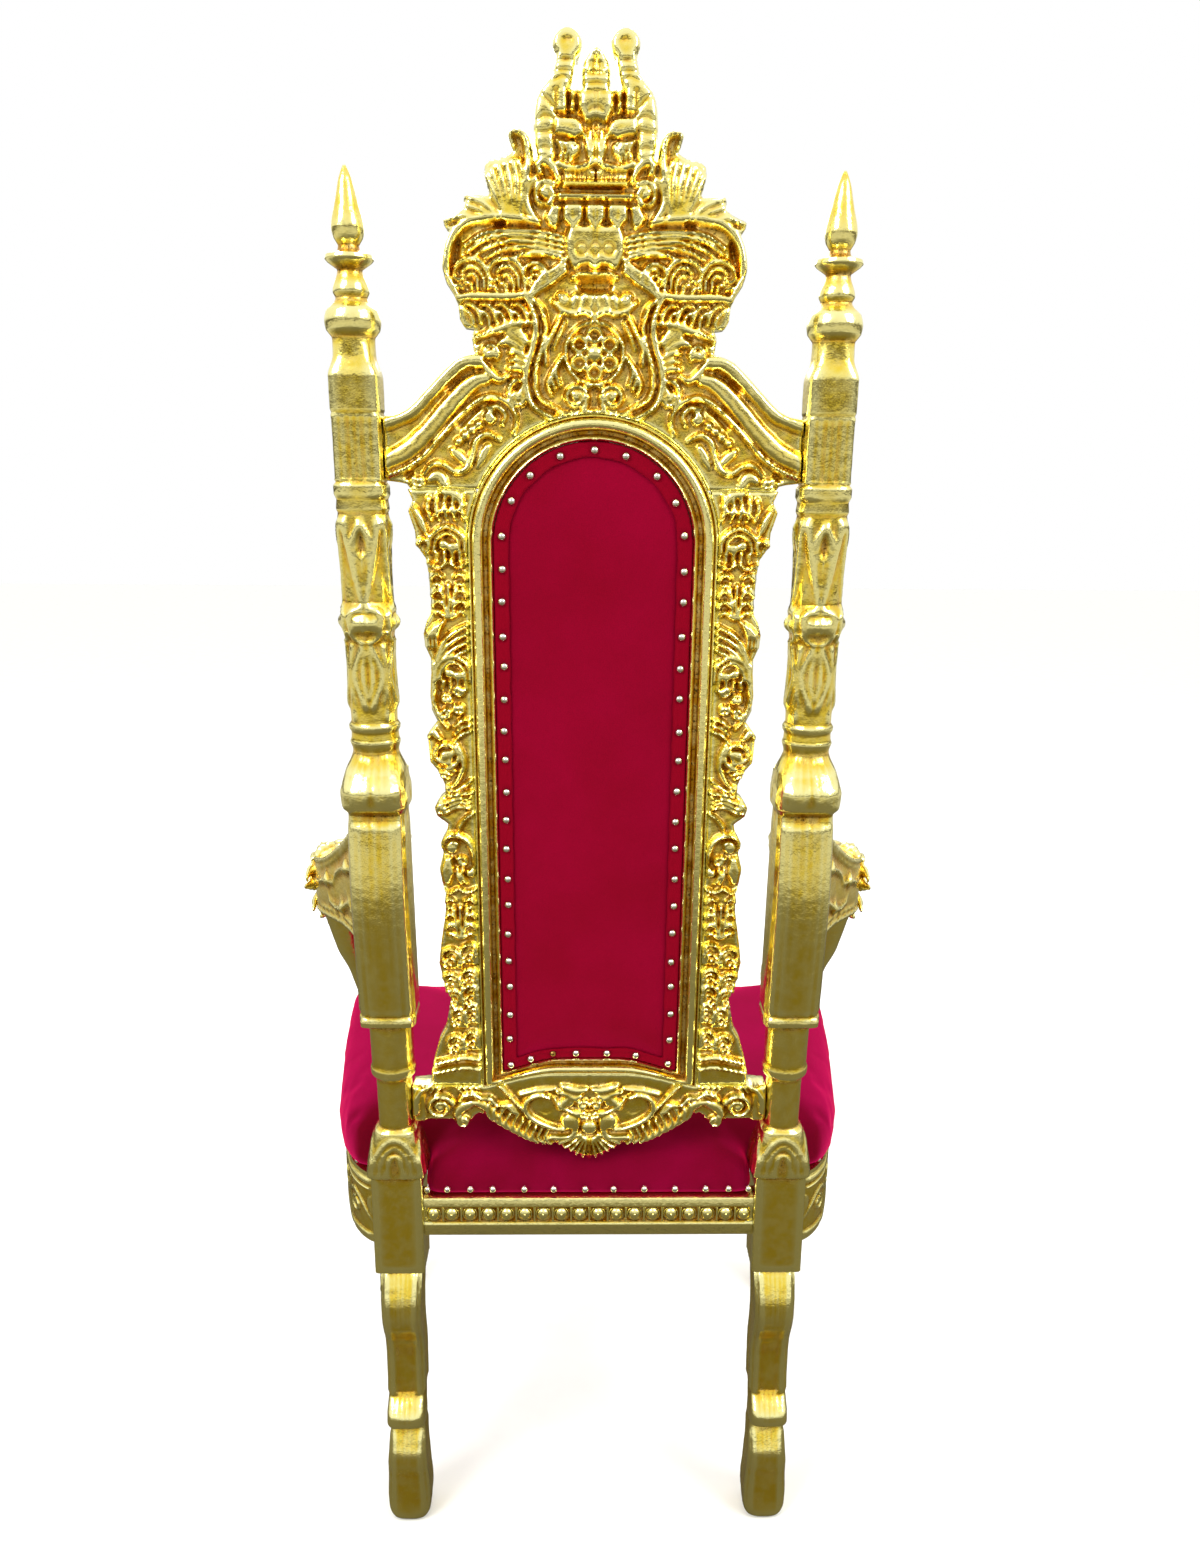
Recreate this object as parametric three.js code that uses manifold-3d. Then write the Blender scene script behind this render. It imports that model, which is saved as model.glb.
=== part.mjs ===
// A carved and gilded armchair throne with velvet upholstery, in millimetres, +Z up, front towards -Y.
// It is joined from carved members: two rear posts with their legs, the crest rail, two stiles and the lower
// rail of the tall back, four seat rails, two front legs and two arms that end in lions' heads.
import * as THREE from "three";
import { mergeVertices } from "three/addons/utils/BufferGeometryUtils.js";
import Module from "manifold-3d";

const wasm = await Module();
wasm.setup();

// ---- driving dimensions ----
const GAP = 0.3; // clearance where two members meet
const LEAN = Math.tan(THREE.MathUtils.degToRad(4.2)); // the back leans away from the sitter
const PIVOT_Z = 541; // height where the lean starts, on top of the seat blocks
const POST_X = 248; // rear posts, centre from the middle plane
const BLOCK_WIDE = 33; // half width of the square block that takes the seat rails
const BLOCK_DEEP = 30;
const BLOCK_FOOT = 403;
const BOARD_REAR = 5; // rear ground of the carved boards, behind which the relief stands
const BOARD_FRONT = -21; // front ground of the carved boards
const ARCH_R = 109; // half width of the upholstered panel, and the radius of its round top
const ARCH_Z = 1346; // centre of that round top
const MOULDING = 27; // width of the plain moulding round the panel
const PANEL_FOOT = 688; // lower corners of the panel
const STILE_TOP = 1404; // joint between the stiles and the crest rail
const STILE_FOOT = 668; // joint between the stiles and the lower rail
const RAIL_TOP = 508; // top of the seat rails
const REAR_RAIL_FOOT = 453;
const SIDE_RAIL_FOOT = 402;
const RAIL_THICK = 28;
const SEAT_FRONT = 500; // front of the seat rails, ahead of the posts' middle
const SEAT_PLAN = [[30.3, 278], [42, 300], [62, 318], [90, 331], [170, 351], [300, 371], [410, 383], [472, 388]];
const CUSHION_TOP = 584;
const FRONT_LEG_X = 337;
const FRONT_LEG_Y = -450;
const ARM_REACH = 160; // how far forward the arms still follow the leaning posts
const UPRIGHT = 1e-6; // no lean at all
const LION = new THREE.Vector3(386, -352, 828); // middle of a lion's head on an arm

const GOLD = () => new THREE.MeshStandardMaterial({ color: 0xd9a92e, metalness: 1, roughness: 0.25 });
const VELVET = () => new THREE.MeshStandardMaterial({ color: 0x96002c, metalness: 0, roughness: 0.8 });
const BAND = () => new THREE.MeshStandardMaterial({ color: 0xa30016, metalness: 0, roughness: 0.7 });

// ---- solids ----
// A closed geometry as a manifold, its faces turned outwards whichever way it was wound.
function solid(geometry) {
  const bare = geometry.clone();
  bare.deleteAttribute("normal");
  bare.deleteAttribute("uv");
  const merged = mergeVertices(bare, 1e-3);
  const vertProperties = new Float32Array(merged.attributes.position.array);
  const triVerts = new Uint32Array(merged.index.array);
  const made = new wasm.Manifold(new wasm.Mesh({ numProp: 3, vertProperties, triVerts }));
  if (made.volume() >= 0) return made;
  for (let i = 0; i < triVerts.length; i += 3) {
    [triVerts[i + 1], triVerts[i + 2]] = [triVerts[i + 2], triVerts[i + 1]];
  }
  return new wasm.Manifold(new wasm.Mesh({ numProp: 3, vertProperties, triVerts }));
}

function geometryOf(made) {
  const { numProp, vertProperties, triVerts } = made.getMesh();
  const count = vertProperties.length / numProp;
  const position = new Float32Array(count * 3);
  for (let i = 0; i < count; i++) {
    position.set(vertProperties.subarray(i * numProp, i * numProp + 3), i * 3);
  }
  const geometry = new THREE.BufferGeometry();
  geometry.setAttribute("position", new THREE.BufferAttribute(position, 3));
  geometry.setIndex(new THREE.BufferAttribute(triVerts, 1));
  return geometry;
}

const join = (parts) => parts.reduce((whole, part) => whole.add(part));

// Rings of points with equal counts, skinned one to the next and closed by flat fans.
function loft(rings) {
  const count = rings[0].length;
  const position = rings.flat().flatMap((p) => [p.x, p.y, p.z]);
  const index = [];
  for (let r = 0; r + 1 < rings.length; r++) {
    for (let i = 0; i < count; i++) {
      const a = r * count + i;
      const b = r * count + ((i + 1) % count);
      index.push(a, b, b + count, a, b + count, a + count);
    }
  }
  const last = (rings.length - 1) * count;
  for (let i = 1; i + 1 < count; i++) {
    index.push(0, i + 1, i);
    index.push(last, last + i, last + i + 1);
  }
  const geometry = new THREE.BufferGeometry();
  geometry.setAttribute("position", new THREE.Float32BufferAttribute(position, 3));
  geometry.setIndex(index);
  return solid(geometry);
}

// Points of a superellipse, -1 to 1 both ways: square 2 is round, 6 a square with eased corners.
// Eight sides put a point on every corner and in the middle of every side.
function superellipse(square, sides) {
  return Array.from({ length: sides }, (_, i) => {
    const angle = (i / sides) * 2 * Math.PI;
    const [c, s] = [Math.cos(angle), Math.sin(angle)];
    const reach = Math.pow(Math.abs(c) ** square + Math.abs(s) ** square, -1 / square);
    return [reach * c, reach * s];
  });
}

// A level ring, and an upright ring that faces the sitter's front.
function ring(x, y, z, halfWidth, halfDepth, square = 2, sides = 8) {
  return superellipse(square, sides).map(
    ([u, v]) => new THREE.Vector3(x + halfWidth * u, y + halfDepth * v, z));
}

function uprightRing(x, y, z, halfWidth, halfHeight, square = 2, sides = 8) {
  return superellipse(square, sides).map(
    ([u, v]) => new THREE.Vector3(x + halfWidth * u, y, z + halfHeight * v));
}

function box(x0, x1, y0, y1, z0, z1) {
  const geometry = new THREE.BoxGeometry(x1 - x0, y1 - y0, z1 - z0);
  geometry.translate((x0 + x1) / 2, (y0 + y1) / 2, (z0 + z1) / 2);
  return solid(geometry);
}

function ball(x, y, z, rx, ry, rz, across = 8, up = 5) {
  const geometry = new THREE.SphereGeometry(1, across, up);
  geometry.rotateX(Math.PI / 2).scale(rx, ry, rz).translate(x, y, z);
  return solid(geometry);
}

// An upright board: an outline in X and Z, cut through from one Y to another.
function board(outline, rearY = BOARD_REAR, frontY = BOARD_FRONT) {
  const shape = new THREE.Shape(outline.map(([x, z]) => new THREE.Vector2(x, z)));
  const geometry = new THREE.ExtrudeGeometry(shape, { depth: rearY - frontY, bevelEnabled: false });
  geometry.rotateX(Math.PI / 2).translate(0, rearY, 0);
  return solid(geometry);
}

// A level slab: an outline in X and Y between two heights.
function slab(outline, low, high) {
  const shape = new THREE.Shape(outline.map(([x, y]) => new THREE.Vector2(x, y)));
  const geometry = new THREE.ExtrudeGeometry(shape, { depth: high - low, bevelEnabled: false });
  geometry.translate(0, 0, low);
  return solid(geometry);
}

const mirrorX = (points) => points.map(([x, z]) => [-x, z]);
// A half outline given from its top to its bottom, closed with its mirror image.
const bothHalves = (half) => {
  const other = mirrorX(half).reverse();
  return [...half, ...other.filter(([x]) => Math.abs(x) > 1e-6)];
};

// ---- carving ----
// Points of a bent line from one place to another: bow is its sideways swing as a share of its length.
function bent([x0, z0], [x1, z1], bow, steps = 3) {
  const mid = [(x0 + x1) / 2 - (z1 - z0) * bow, (z0 + z1) / 2 + (x1 - x0) * bow];
  return Array.from({ length: steps + 1 }, (_, i) => {
    const t = i / steps;
    const [a, b, c] = [(1 - t) ** 2, 2 * t * (1 - t), t * t];
    return [a * x0 + b * mid[0] + c * x1, a * z0 + b * mid[1] + c * z1];
  });
}

// Points of a spiral round a centre, from one radius and angle (in turns) to another.
function spiral([x, z], r0, r1, turn0, turn1, steps = 6) {
  return Array.from({ length: steps + 1 }, (_, i) => {
    const t = i / steps;
    const radius = r0 + (r1 - r0) * t;
    const angle = (turn0 + (turn1 - turn0) * t) * 2 * Math.PI;
    return [x + radius * Math.cos(angle), z + radius * Math.sin(angle)];
  });
}

// The half width on both sides of a line's points, square to the line.
function sidesOf(line, widthAt) {
  return line.map((_, i) => {
    const [xa, za] = line[Math.max(i - 1, 0)];
    const [xb, zb] = line[Math.min(i + 1, line.length - 1)];
    const length = Math.hypot(xb - xa, zb - za);
    const half = Math.max(widthAt(i / (line.length - 1)) / 2, 0.8);
    return [(-(zb - za) / length) * half, ((xb - xa) / length) * half, half];
  });
}

// A raised member along a line on a face: a three-cornered section that swells and tapers.
// face gives the ground's Y at a point, and out is +1 on the rear face and -1 on the front face.
function ridge(line, widthAt, rise, face, out) {
  const sides = sidesOf(line, widthAt);
  const rings = line.map(([x, z], i) => {
    const [nx, nz, half] = sides[i];
    const top = Math.max(Math.min(rise, half * 1.5), 1);
    return [
      new THREE.Vector3(x - nx, face(x, z) - out * 1.5, z - nz),
      new THREE.Vector3(x + nx, face(x, z) - out * 1.5, z + nz),
      new THREE.Vector3(x, face(x, z) + out * top, z),
    ];
  });
  return loft(rings);
}

const leafy = (width) => (t) => width * Math.sin(Math.PI * Math.min(0.14 + t * 0.84, 1)) ** 0.8;
const even = (width) => () => width;
const taper = (wide, narrow) => (t) => wide + (narrow - wide) * t;
const rearGround = () => BOARD_REAR;
const frontGround = () => BOARD_FRONT;

// The outline of a leaf that stands past a board's edge.
function leafOutline(line, widthAt) {
  const sides = sidesOf(line, widthAt);
  const left = line.map(([x, z], i) => [x + sides[i][0], z + sides[i][1]]);
  const right = line.map(([x, z], i) => [x - sides[i][0], z - sides[i][1]]);
  return [...left, ...right.reverse()];
}

// One motif on a board's rear face, on both faces (both) or cut through the board as well (through),
// with its mirror image unless it stands on the middle plane (single).
function carve(line, widthAt, { rise = 7, both = false, through = false, single = false } = {}) {
  const lines = single ? [line] : [line, mirrorX(line)];
  return lines.flatMap((each) => [
    ridge(each, widthAt, rise, rearGround, 1),
    ...(both ? [ridge(each, widthAt, rise * 0.7, frontGround, -1)] : []),
    ...(through ? [board(leafOutline(each, widthAt))] : []),
  ]);
}

// A round flower with a ball in its middle.
function flower(x, z, radius, face, out) {
  const petals = (r, y) => Array.from({ length: 12 }, (_, i) => {
    const angle = (i / 12) * 2 * Math.PI;
    const reach = i % 2 ? r : r * 0.86;
    return new THREE.Vector3(x + reach * Math.cos(angle), face + out * y, z + reach * Math.sin(angle));
  });
  const disc = loft([petals(radius, -1.5), petals(radius, 4), petals(radius * 0.5, 5)]);
  return disc.add(ball(x, face + out * 3, z, radius * 0.32, 6, radius * 0.32, 6, 4));
}

// ---- the back ----
// The edge of the panel set out by a distance, with its double-arched foot (counter-clockwise).
function panelOutline(distance, steps = 10) {
  const radius = ARCH_R + distance;
  const arch = Array.from({ length: steps + 1 }, (_, i) => {
    const angle = (i / steps) * Math.PI;
    return [radius * Math.cos(angle), ARCH_Z + radius * Math.sin(angle)];
  });
  const foot = [[-0.62, 11], [-0.3, 19], [0.3, 19], [0.62, 11]];
  const low = PANEL_FOOT - distance * 0.8;
  return [...arch, [-radius + 1, low], ...foot.map(([share, up]) => [share * radius, low + up]), [radius - 1, low]];
}

function panelMoulding() {
  const step = (inner, outer, rear, front) =>
    board(panelOutline(outer), rear, front).subtract(board(panelOutline(inner), rear + 9, front - 9));
  return join([
    step(GAP, MOULDING, 6, -22),
    step(9, MOULDING - 9, 12, -27),
  ]);
}

const mouldingSeat = () => board(panelOutline(MOULDING + GAP), 60, -70);

// Half of the crest's outline, from the top of the crown's block down to the shoulder: the crown with the lower
// ends of its horns, three leaf tips, the wing, the curls below it and the shoulder that meets the post.
const CREST = [
  [0, 1781], [22, 1781], [50, 1783], [57, 1752], [55, 1723], [61, 1719], [68, 1743], [78, 1746], [86, 1741],
  [81, 1727], [104, 1719], [109, 1708], [105, 1688], [129, 1689], [126, 1672], [152, 1666], [148, 1652],
  [154, 1622], [139, 1588], [133, 1565], [123, 1562], [125, 1542], [160, 1519], [195, 1485], [216, 1478],
];

function crestRail() {
  const shoulderFoot = [[POST_X, 1478], [POST_X, 1417], [199, 1411], [196, STILE_TOP + GAP]];
  const plate = board(bothHalves([...CREST, ...shoulderFoot]));
  const horn = [[29, 1812], [36, 1790], [44, 1762], [46, 1728]];
  const disc = Array.from({ length: 12 }, (_, i) => {
    const angle = (i / 12) * 2 * Math.PI;
    return [28 + 12 * Math.cos(angle), 1821 + 12 * Math.sin(angle)];
  });
  const spike = bothHalves([[0, 1817], [8, 1806], [13, 1792], [13, 1776]]);
  const parts = [
    plate,
    board(disc, BOARD_REAR + 4, BOARD_FRONT - 4),
    board(mirrorX(disc), BOARD_REAR + 4, BOARD_FRONT - 4),
    board(spike, BOARD_REAR + 3, BOARD_FRONT - 3),
    ...carve(horn, taper(12, 20), { through: true }),
    // leaves that fan out over each wing
    ...carve(bent([70, 1668], [76, 1740], -0.2, 2), leafy(24)),
    ...carve(bent([78, 1664], [102, 1712], 0.16, 2), leafy(24)),
    // crown cap, cornice, collar, chest and neck
    ...carve(bent([5, 1750], [38, 1728], -0.2, 2), leafy(20)),
    ...carve([[-37, 1698], [37, 1698]], even(10), { rise: 9, single: true, both: true }),
    ...carve([[0, 1668], [0, 1640], [0, 1612]], taper(54, 40), { rise: 10, single: true, both: true }),
    // wing feathers
    ...carve(bent([30, 1650], [140, 1640], 0.12), leafy(15)),
    ...carve(bent([30, 1634], [124, 1626], 0.12), leafy(13)),
    // curling leaves under the wing, in two tiers
    ...[72, 112].flatMap((x) => carve(bent([x, 1608], [x + 32, 1606], -0.35, 2), leafy(16))),
    ...[80, 104].flatMap((x) => carve(bent([x, 1586], [x - 4, 1564], 0.2, 2), leafy(14))),
    // the lyre of scrolls round the flower
    ...carve([[50, 1584], [60, 1552], [64, 1510], [50, 1482], [16, 1482]], taper(10, 13), { rise: 8 }),
    flower(0, 1541, 28, BOARD_REAR, 1),
    // leaves between the lyre and the shoulder
    ...carve(bent([72, 1540], [106, 1544], 0.3, 2), leafy(18)),
    ...carve(bent([74, 1522], [102, 1512], -0.3, 2), leafy(18)),
    // the shoulder's two mouldings and its cartouche
    ...carve([[122, 1534], [160, 1510], [196, 1478], [234, 1470]], even(11), { rise: 7, both: true }),
    ...carve([[104, 1498], [140, 1480], [182, 1442], [234, 1428]], even(9), { rise: 6, both: true }),
    ...carve(bent([112, 1452], [178, 1420], -0.15), leafy(20)),
  ];
  const edge = POST_X - 26.5 - GAP;
  const whole = join(parts).subtract(mouldingSeat());
  return whole.intersect(box(-edge, edge, -60, 40, STILE_TOP + GAP, 1900));
}

// One stile of the back, on the +X side: its scalloped outer edge and its climbing leaves.
function stile() {
  const edge = [
    [196, STILE_TOP], [193, 1366], [181, 1322], [179, 1272], [188, 1246], [181, 1208], [181, 1160], [187, 1122],
    [170, 1062], [182, 1040], [169, 1017], [179, 968], [175, 912], [184, 840], [173, 785], [195, 712],
    [200, STILE_FOOT + GAP],
  ];
  const plate = board([...edge, [129, STILE_FOOT + GAP], [129, STILE_TOP]]);
  const climb = (points, width, both) => {
    const line = points;
    const rear = ridge(line, width, 7, rearGround, 1);
    return both ? [rear, ridge(line, width, 5, frontGround, -1)] : [rear];
  };
  const parts = [
    plate,
    ...climb(bent([150, 1398], [186, 1384], -0.3, 2), leafy(20), true),
    ...climb(spiral([160, 1346], 18, 16, 0, 0.5, 4), even(9), false),
    ...climb([[159, 1320], [159, 1264]], leafy(32), false),
    ...climb(bent([146, 1254], [174, 1218], 0.2, 2), leafy(22), true),
    ...climb(spiral([156, 1202], 20, 17, 0, 0.5, 4), even(9), false),
    ...climb(bent([174, 1196], [164, 1142], -0.2, 2), leafy(16), false),
    ...climb(spiral([167, 1107], 17, 12, 0, 0.85, 5), even(8), false),
    ...climb(bent([144, 1084], [168, 1070], 0.1, 2), leafy(22), true),
    ...climb(bent([146, 1040], [176, 1042], -0.3, 2), leafy(20), false),
    ...climb(bent([142, 984], [176, 994], -0.5), taper(8, 10), false),
    ...climb([[159, 938], [158, 872]], leafy(34), true),
    ...climb([[160, 866], [160, 800]], leafy(34), false),
    ...climb([[160, 796], [166, 720]], leafy(32), true),
  ];
  return join(parts).subtract(mouldingSeat()).intersect(box(60, 215, -60, 40, STILE_FOOT + GAP, STILE_TOP));
}

function lowerRail() {
  const edge = [
    [0, 562], [14, 565], [40, 580], [68, 583], [104, 602], [125, 618], [142, 626], [152, 613], [168, 607],
    [180, 617], [240, 614],
  ];
  const upper = [[127, 692], [127, STILE_FOOT], [240, STILE_FOOT]];
  const plate = board(bothHalves([...upper, ...edge.slice().reverse()]));
  const parts = [
    plate,
    // outer volutes and the straps to the posts
    ...carve(spiral([190, 640], 15, 7, 0.4, 1.2, 5), taper(9, 7), { rise: 8, both: true }),
    // ribbed leaves, the C-scrolls and the shell with its two balls
    ...carve(bent([62, 602], [128, 634], -0.1), leafy(26), { rise: 8, both: true }),
    ...carve(bent([158, 642], [160, 616], -0.4, 2), leafy(16), { rise: 8 }),
    ...carve(bent([52, 652], [32, 606], -0.5), taper(11, 8), { rise: 8, both: true }),
    ...carve(bent([6, 652], [34, 646], -0.3, 2), leafy(14)),
    ...carve([[10, 600], [30, 582]], leafy(15)),
    ...carve([[0, 598], [0, 564]], leafy(17), { single: true, both: true }),
    ...[0, 24, -24].map((x) => ball(x, BOARD_REAR + 2, x ? 616 : 608, 10, 8, 10, 6, 4)),
  ];
  const whole = join(parts).subtract(mouldingSeat());
  const room = box(-POST_X + 18, POST_X - 18, -60, 40, 500, 692);
  const socket = post(GAP);
  return whole.intersect(room).subtract(socket).subtract(socket.mirror([1, 0, 0]));
}

// The velvet seen from behind: flat under its nailed band, padded inside that.
function backPanel() {
  const at = (distance, y) => panelOutline(distance).map(([x, z]) => new THREE.Vector3(x, y, z));
  return loft([at(0, -6), at(0, 0), at(-19, 0), at(-24, 4), at(-60, 6)]);
}

function backPanelBand() {
  const strip = board(panelOutline(-0.6), 3, GAP);
  return strip.subtract(board(panelOutline(-18), 20, -20));
}

function insidePad() {
  const at = (distance, y) => panelOutline(distance).map(([x, z]) => new THREE.Vector3(x, y, z));
  return loft([at(0, -6 - GAP), at(0, -22), at(-8, -34), at(-34, -42)]);
}

// ---- the rear posts with their legs ----
// Height, half width, half depth, middle's Y, squareness: from the finial's tip down to the seat block.
const POST = [
  [1714, 1.5, 1.5, 0, 2], [1703, 6.5, 6.5, 0, 2], [1657, 16.5, 16.5, 0, 2], [1641, 10.5, 10.5, 0, 2],
  [1633, 24, 24, 0, 2], [1626, 24, 24, 0, 2], [1618, 12.5, 12.5, 0, 2], [1602, 18, 18, 0, 2],
  [1592, 16, 16, 0, 2], [1580, 27, 27, 0, 2], [1565, 28.5, 28.5, 0, 2], [1553, 22, 22, 0, 2],
  [1536, 22, 22, 0, 2], [1516, 26.5, 25, 0, 5], [1413, 26.5, 25, 0, 5], [1408, 29, 27, 0, 3],
  [1396, 28, 26, 0, 3], [1373, 27.5, 26, 0, 2.4], [1307, 24.5, 24, 0, 2], [1272, 29, 30, 0, 2],
  [1240, 24.5, 25, 0, 2], [1165, 26.5, 26, 0, 2], [1148, 26, 26, 0, 2], [1140, 29, 28, 0, 2],
  [1120, 28, 27, 0, 2], [1115, 26, 25, 0, 2], [1098, 33, 33, 3, 3], [1070, 39.5, 42, 12, 3.4],
  [1050, 38, 39, 9, 3.6], [1038, 35, 33, 3, 5], [940, 35, 40, 10, 6], [766, 35, 33, 3, 6],
  [765, 27, 26, 0, 2], [701, 27, 26, 0, 2], [690, 28.5, 27, 0, 2], [679, 22, 22, 0, 2],
  [613, 22, 22, 0, 2], [606, 28, 28, 0, 3], [545, 37, 33, 0, 5],
];
// The same for the seat block, the leg's knee, its hollow shin, the scroll above the foot and the foot.
const LEG = [
  [PIVOT_Z, BLOCK_WIDE, BLOCK_DEEP, 0, 14], [BLOCK_FOOT, BLOCK_WIDE, BLOCK_DEEP, 0, 14],
  [402, 26, 29, 2, 6], [368, 24.5, 30, 8, 6], [330, 24.5, 27, 3, 6], [262, 24.5, 22, -9, 6],
  [200, 24.5, 23, 0, 6], [186, 26.5, 26, 10, 5], [160, 26.5, 26, 13, 5], [148, 25, 21, 7, 6],
  [120, 25, 21, 1, 6], [70, 27, 23, 2, 6], [30, 29, 26, 5, 5], [8, 29, 27, 6, 5], [0, 24, 23, 6, 5],
];

function post(extra = 0) {
  return loft([...POST, ...LEG].map(([z, wide, deep, y, square]) =>
    ring(POST_X, y, z, wide + extra, deep + extra, square)));
}

function rearPost() {
  const at = (z, key) => {
    const rows = z > PIVOT_Z ? POST : LEG;
    const i = Math.max(rows.findIndex((row) => row[0] <= z), 1);
    const [above, below] = [rows[i - 1], rows[i]];
    const t = (above[0] - z) / (above[0] - below[0]);
    return above[key] + (below[key] - above[key]) * t;
  };
  const rear = (x, z) => at(z, 3) + at(z, 2) - (Math.abs(x - POST_X) > 20 ? 1 : 0) - 0.6;
  const down = (x, heights) => heights.map((z) => [POST_X + x, z]);
  const parts = [
    post(),
    // flutes of the bulb and of the scroll panel below it
    ...[-13, 13].map((x) => ridge(down(x, [1092, 1070, 1052]), leafy(22), 3.5, rear, 1)),
    ...[-22, 22].map((x) =>
      ridge(down(x, [1036, 940, 770]), even(9), 3, rear, 1)),
    // the spear leaf, the knot and the drapery leaf
    ridge(down(0, [1388, 1352, 1312]), leafy(26), 5, rear, 1),
    ...[-10, 10].map((x) => ball(POST_X + x, 28, 1272, 10, 8, 12, 6, 3)),
    ridge(down(0, [1240, 1205, 1170]), leafy(28), 5, rear, 1),
    // the capital's leaf over the seat block
    ridge(down(0, [608, 580, 546]), leafy(46), 6, rear, 1),
  ];
  return join(parts);
}

// ---- the seat ----
const plan = (distance, points = SEAT_PLAN) => points.map(([f, x]) => [x + distance, -f]);

// A side rail follows the seat's swelling plan; its rear end is rounded off below.
function sideRail() {
  const outer = plan(0);
  const inner = plan(-RAIL_THICK).reverse().map(([x, y]) => [Math.max(x, 252), y]);
  const whole = slab([...outer, ...inner], SIDE_RAIL_FOOT, RAIL_TOP);
  const beads = slab([...plan(3.5), ...plan(-4).reverse()].filter(([, y]) => y < -41), 490, 499);
  const foot = slab([...plan(3), ...plan(-4).reverse()].filter(([, y]) => y < -61), 408, 418);
  return join([whole, beads, foot]);
}

function rearRail() {
  const edge = POST_X - BLOCK_WIDE - GAP;
  const rail = box(-edge, edge, -8, 20, REAR_RAIL_FOOT, RAIL_TOP);
  const bead = box(-edge, edge, 15, 24, 474, 496);
  const cut = join(Array.from({ length: 17 }, (_, i) =>
    box(-edge + ((i + 1) * 2 * edge) / 18 - 1.6, -edge + ((i + 1) * 2 * edge) / 18 + 1.6, 21, 30, 470, 500)));
  return rail.add(bead.subtract(cut));
}

// The front rail's shaped apron with a shell in the middle, between the two front corners.
function frontRail() {
  const half = SEAT_PLAN[SEAT_PLAN.length - 1][1] - RAIL_THICK - GAP;
  const lower = [[-half, SIDE_RAIL_FOOT], [-250, 404], [-180, 424], [-90, 418], [-45, 392], [0, 380],
    [45, 392], [90, 418], [180, 424], [250, 404], [half, SIDE_RAIL_FOOT]];
  const apron = board([...lower, [half, RAIL_TOP], [-half, RAIL_TOP]], -SEAT_FRONT + RAIL_THICK, -SEAT_FRONT);
  const front = () => -SEAT_FRONT;
  const parts = [
    apron,
    ...[-0.36, -0.18, 0, 0.18, 0.36].map((a) => ridge(
      [[70 * Math.sin(a * 0.5), 470], [95 * Math.sin(a), 470 - 82 * Math.cos(a)]], leafy(17), 6, front, -1)),
    ...[1, -1].map((s) => ridge(
      bent([60 * s, 440], [170 * s, 462], 0.3 * s), taper(16, 8), 6, front, -1)),
    ...[1, -1].map((s) => ridge(
      bent([180 * s, 458], [320 * s, 450], 0.2 * s), leafy(20), 6, front, -1)),
    box(-half, half, -SEAT_FRONT - 3.5, -SEAT_FRONT + 5, 490, 499),
  ];
  return join(parts);
}

function frontLeg() {
  const block = [
    [RAIL_TOP - GAP, 19, 19, 0, -1, 14], [SIDE_RAIL_FOOT - GAP - 0.4, 19, 19, 0, -1, 14],
  ];
  const leg = [
    [SIDE_RAIL_FOOT - GAP, 30, 32, 2, -6, 6], [380, 31, 36, 4, -10, 5], [345, 29, 34, 4, -10, 4],
    [300, 24, 27, 2, -2, 4], [230, 20, 22, 1, 8, 4], [160, 19, 20, 1, 10, 4], [110, 20, 22, 2, 2, 4],
    [70, 24, 28, 4, -8, 3], [34, 29, 36, 6, -16, 3], [10, 29, 38, 6, -18, 4], [0, 24, 32, 6, -18, 4],
  ];
  const rings = [...block, ...leg].map(([z, wide, deep, dx, dy, square]) =>
    ring(FRONT_LEG_X + dx, FRONT_LEG_Y + dy, z, wide, deep, square));
  const cx = FRONT_LEG_X + 4;
  const knee = [-12, 12].map((x) => {
    const line = [[cx + x * 0.7, 392], [cx + x, 360], [cx + x * 0.3, 322]];
    return ridge(line, leafy(17), 5, (_, z) => FRONT_LEG_Y - 10 - (z > 350 ? 33 : 26), -1);
  });
  return join([loft(rings), ...knee]);
}

// The seat's upholstery: domed velvet over the rails, notched round the rear posts. Between the posts it
// reaches the rear rail below, and above that it stands clear of the back's lower rail.
function cushion() {
  const side = SEAT_PLAN.map(([f, x]) => [x, -f]);
  // Height, swell past the rails, rear edge.
  const levels = [
    [RAIL_TOP + GAP, -1, 17], [530, 8, 18], [548, 12, 14], [554, 12, 4], [558, 12, -34], [574, 8, -36],
    [CUSHION_TOP + 2, -14, -44], [CUSHION_TOP + 9, -70, -84], [CUSHION_TOP + 12, -150, -176],
  ];
  const rings = levels.map(([z, swell, rear]) => {
    const notch = 208 + Math.min(swell, 0) * 0.9;
    const behind = Math.min(-46 + swell * 0.3, rear - 1);
    const right = side.filter(([, y]) => y < -44)
      .map(([x, y]) => [x * (1 + swell / 380), Math.min(y, -46 + swell * 0.3)]);
    const front = -SEAT_FRONT - Math.max(swell, -90) * 0.9 + 1;
    const corner = [[372 + swell, Math.min(-482 - swell * 0.6, -300)], [340 + swell, front]];
    const half = [[notch, rear], [notch, behind], ...right, ...corner];
    return [...half, ...mirrorX(half).reverse()].map(([x, y]) => new THREE.Vector3(x, y, z));
  });
  return loft(rings);
}

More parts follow.
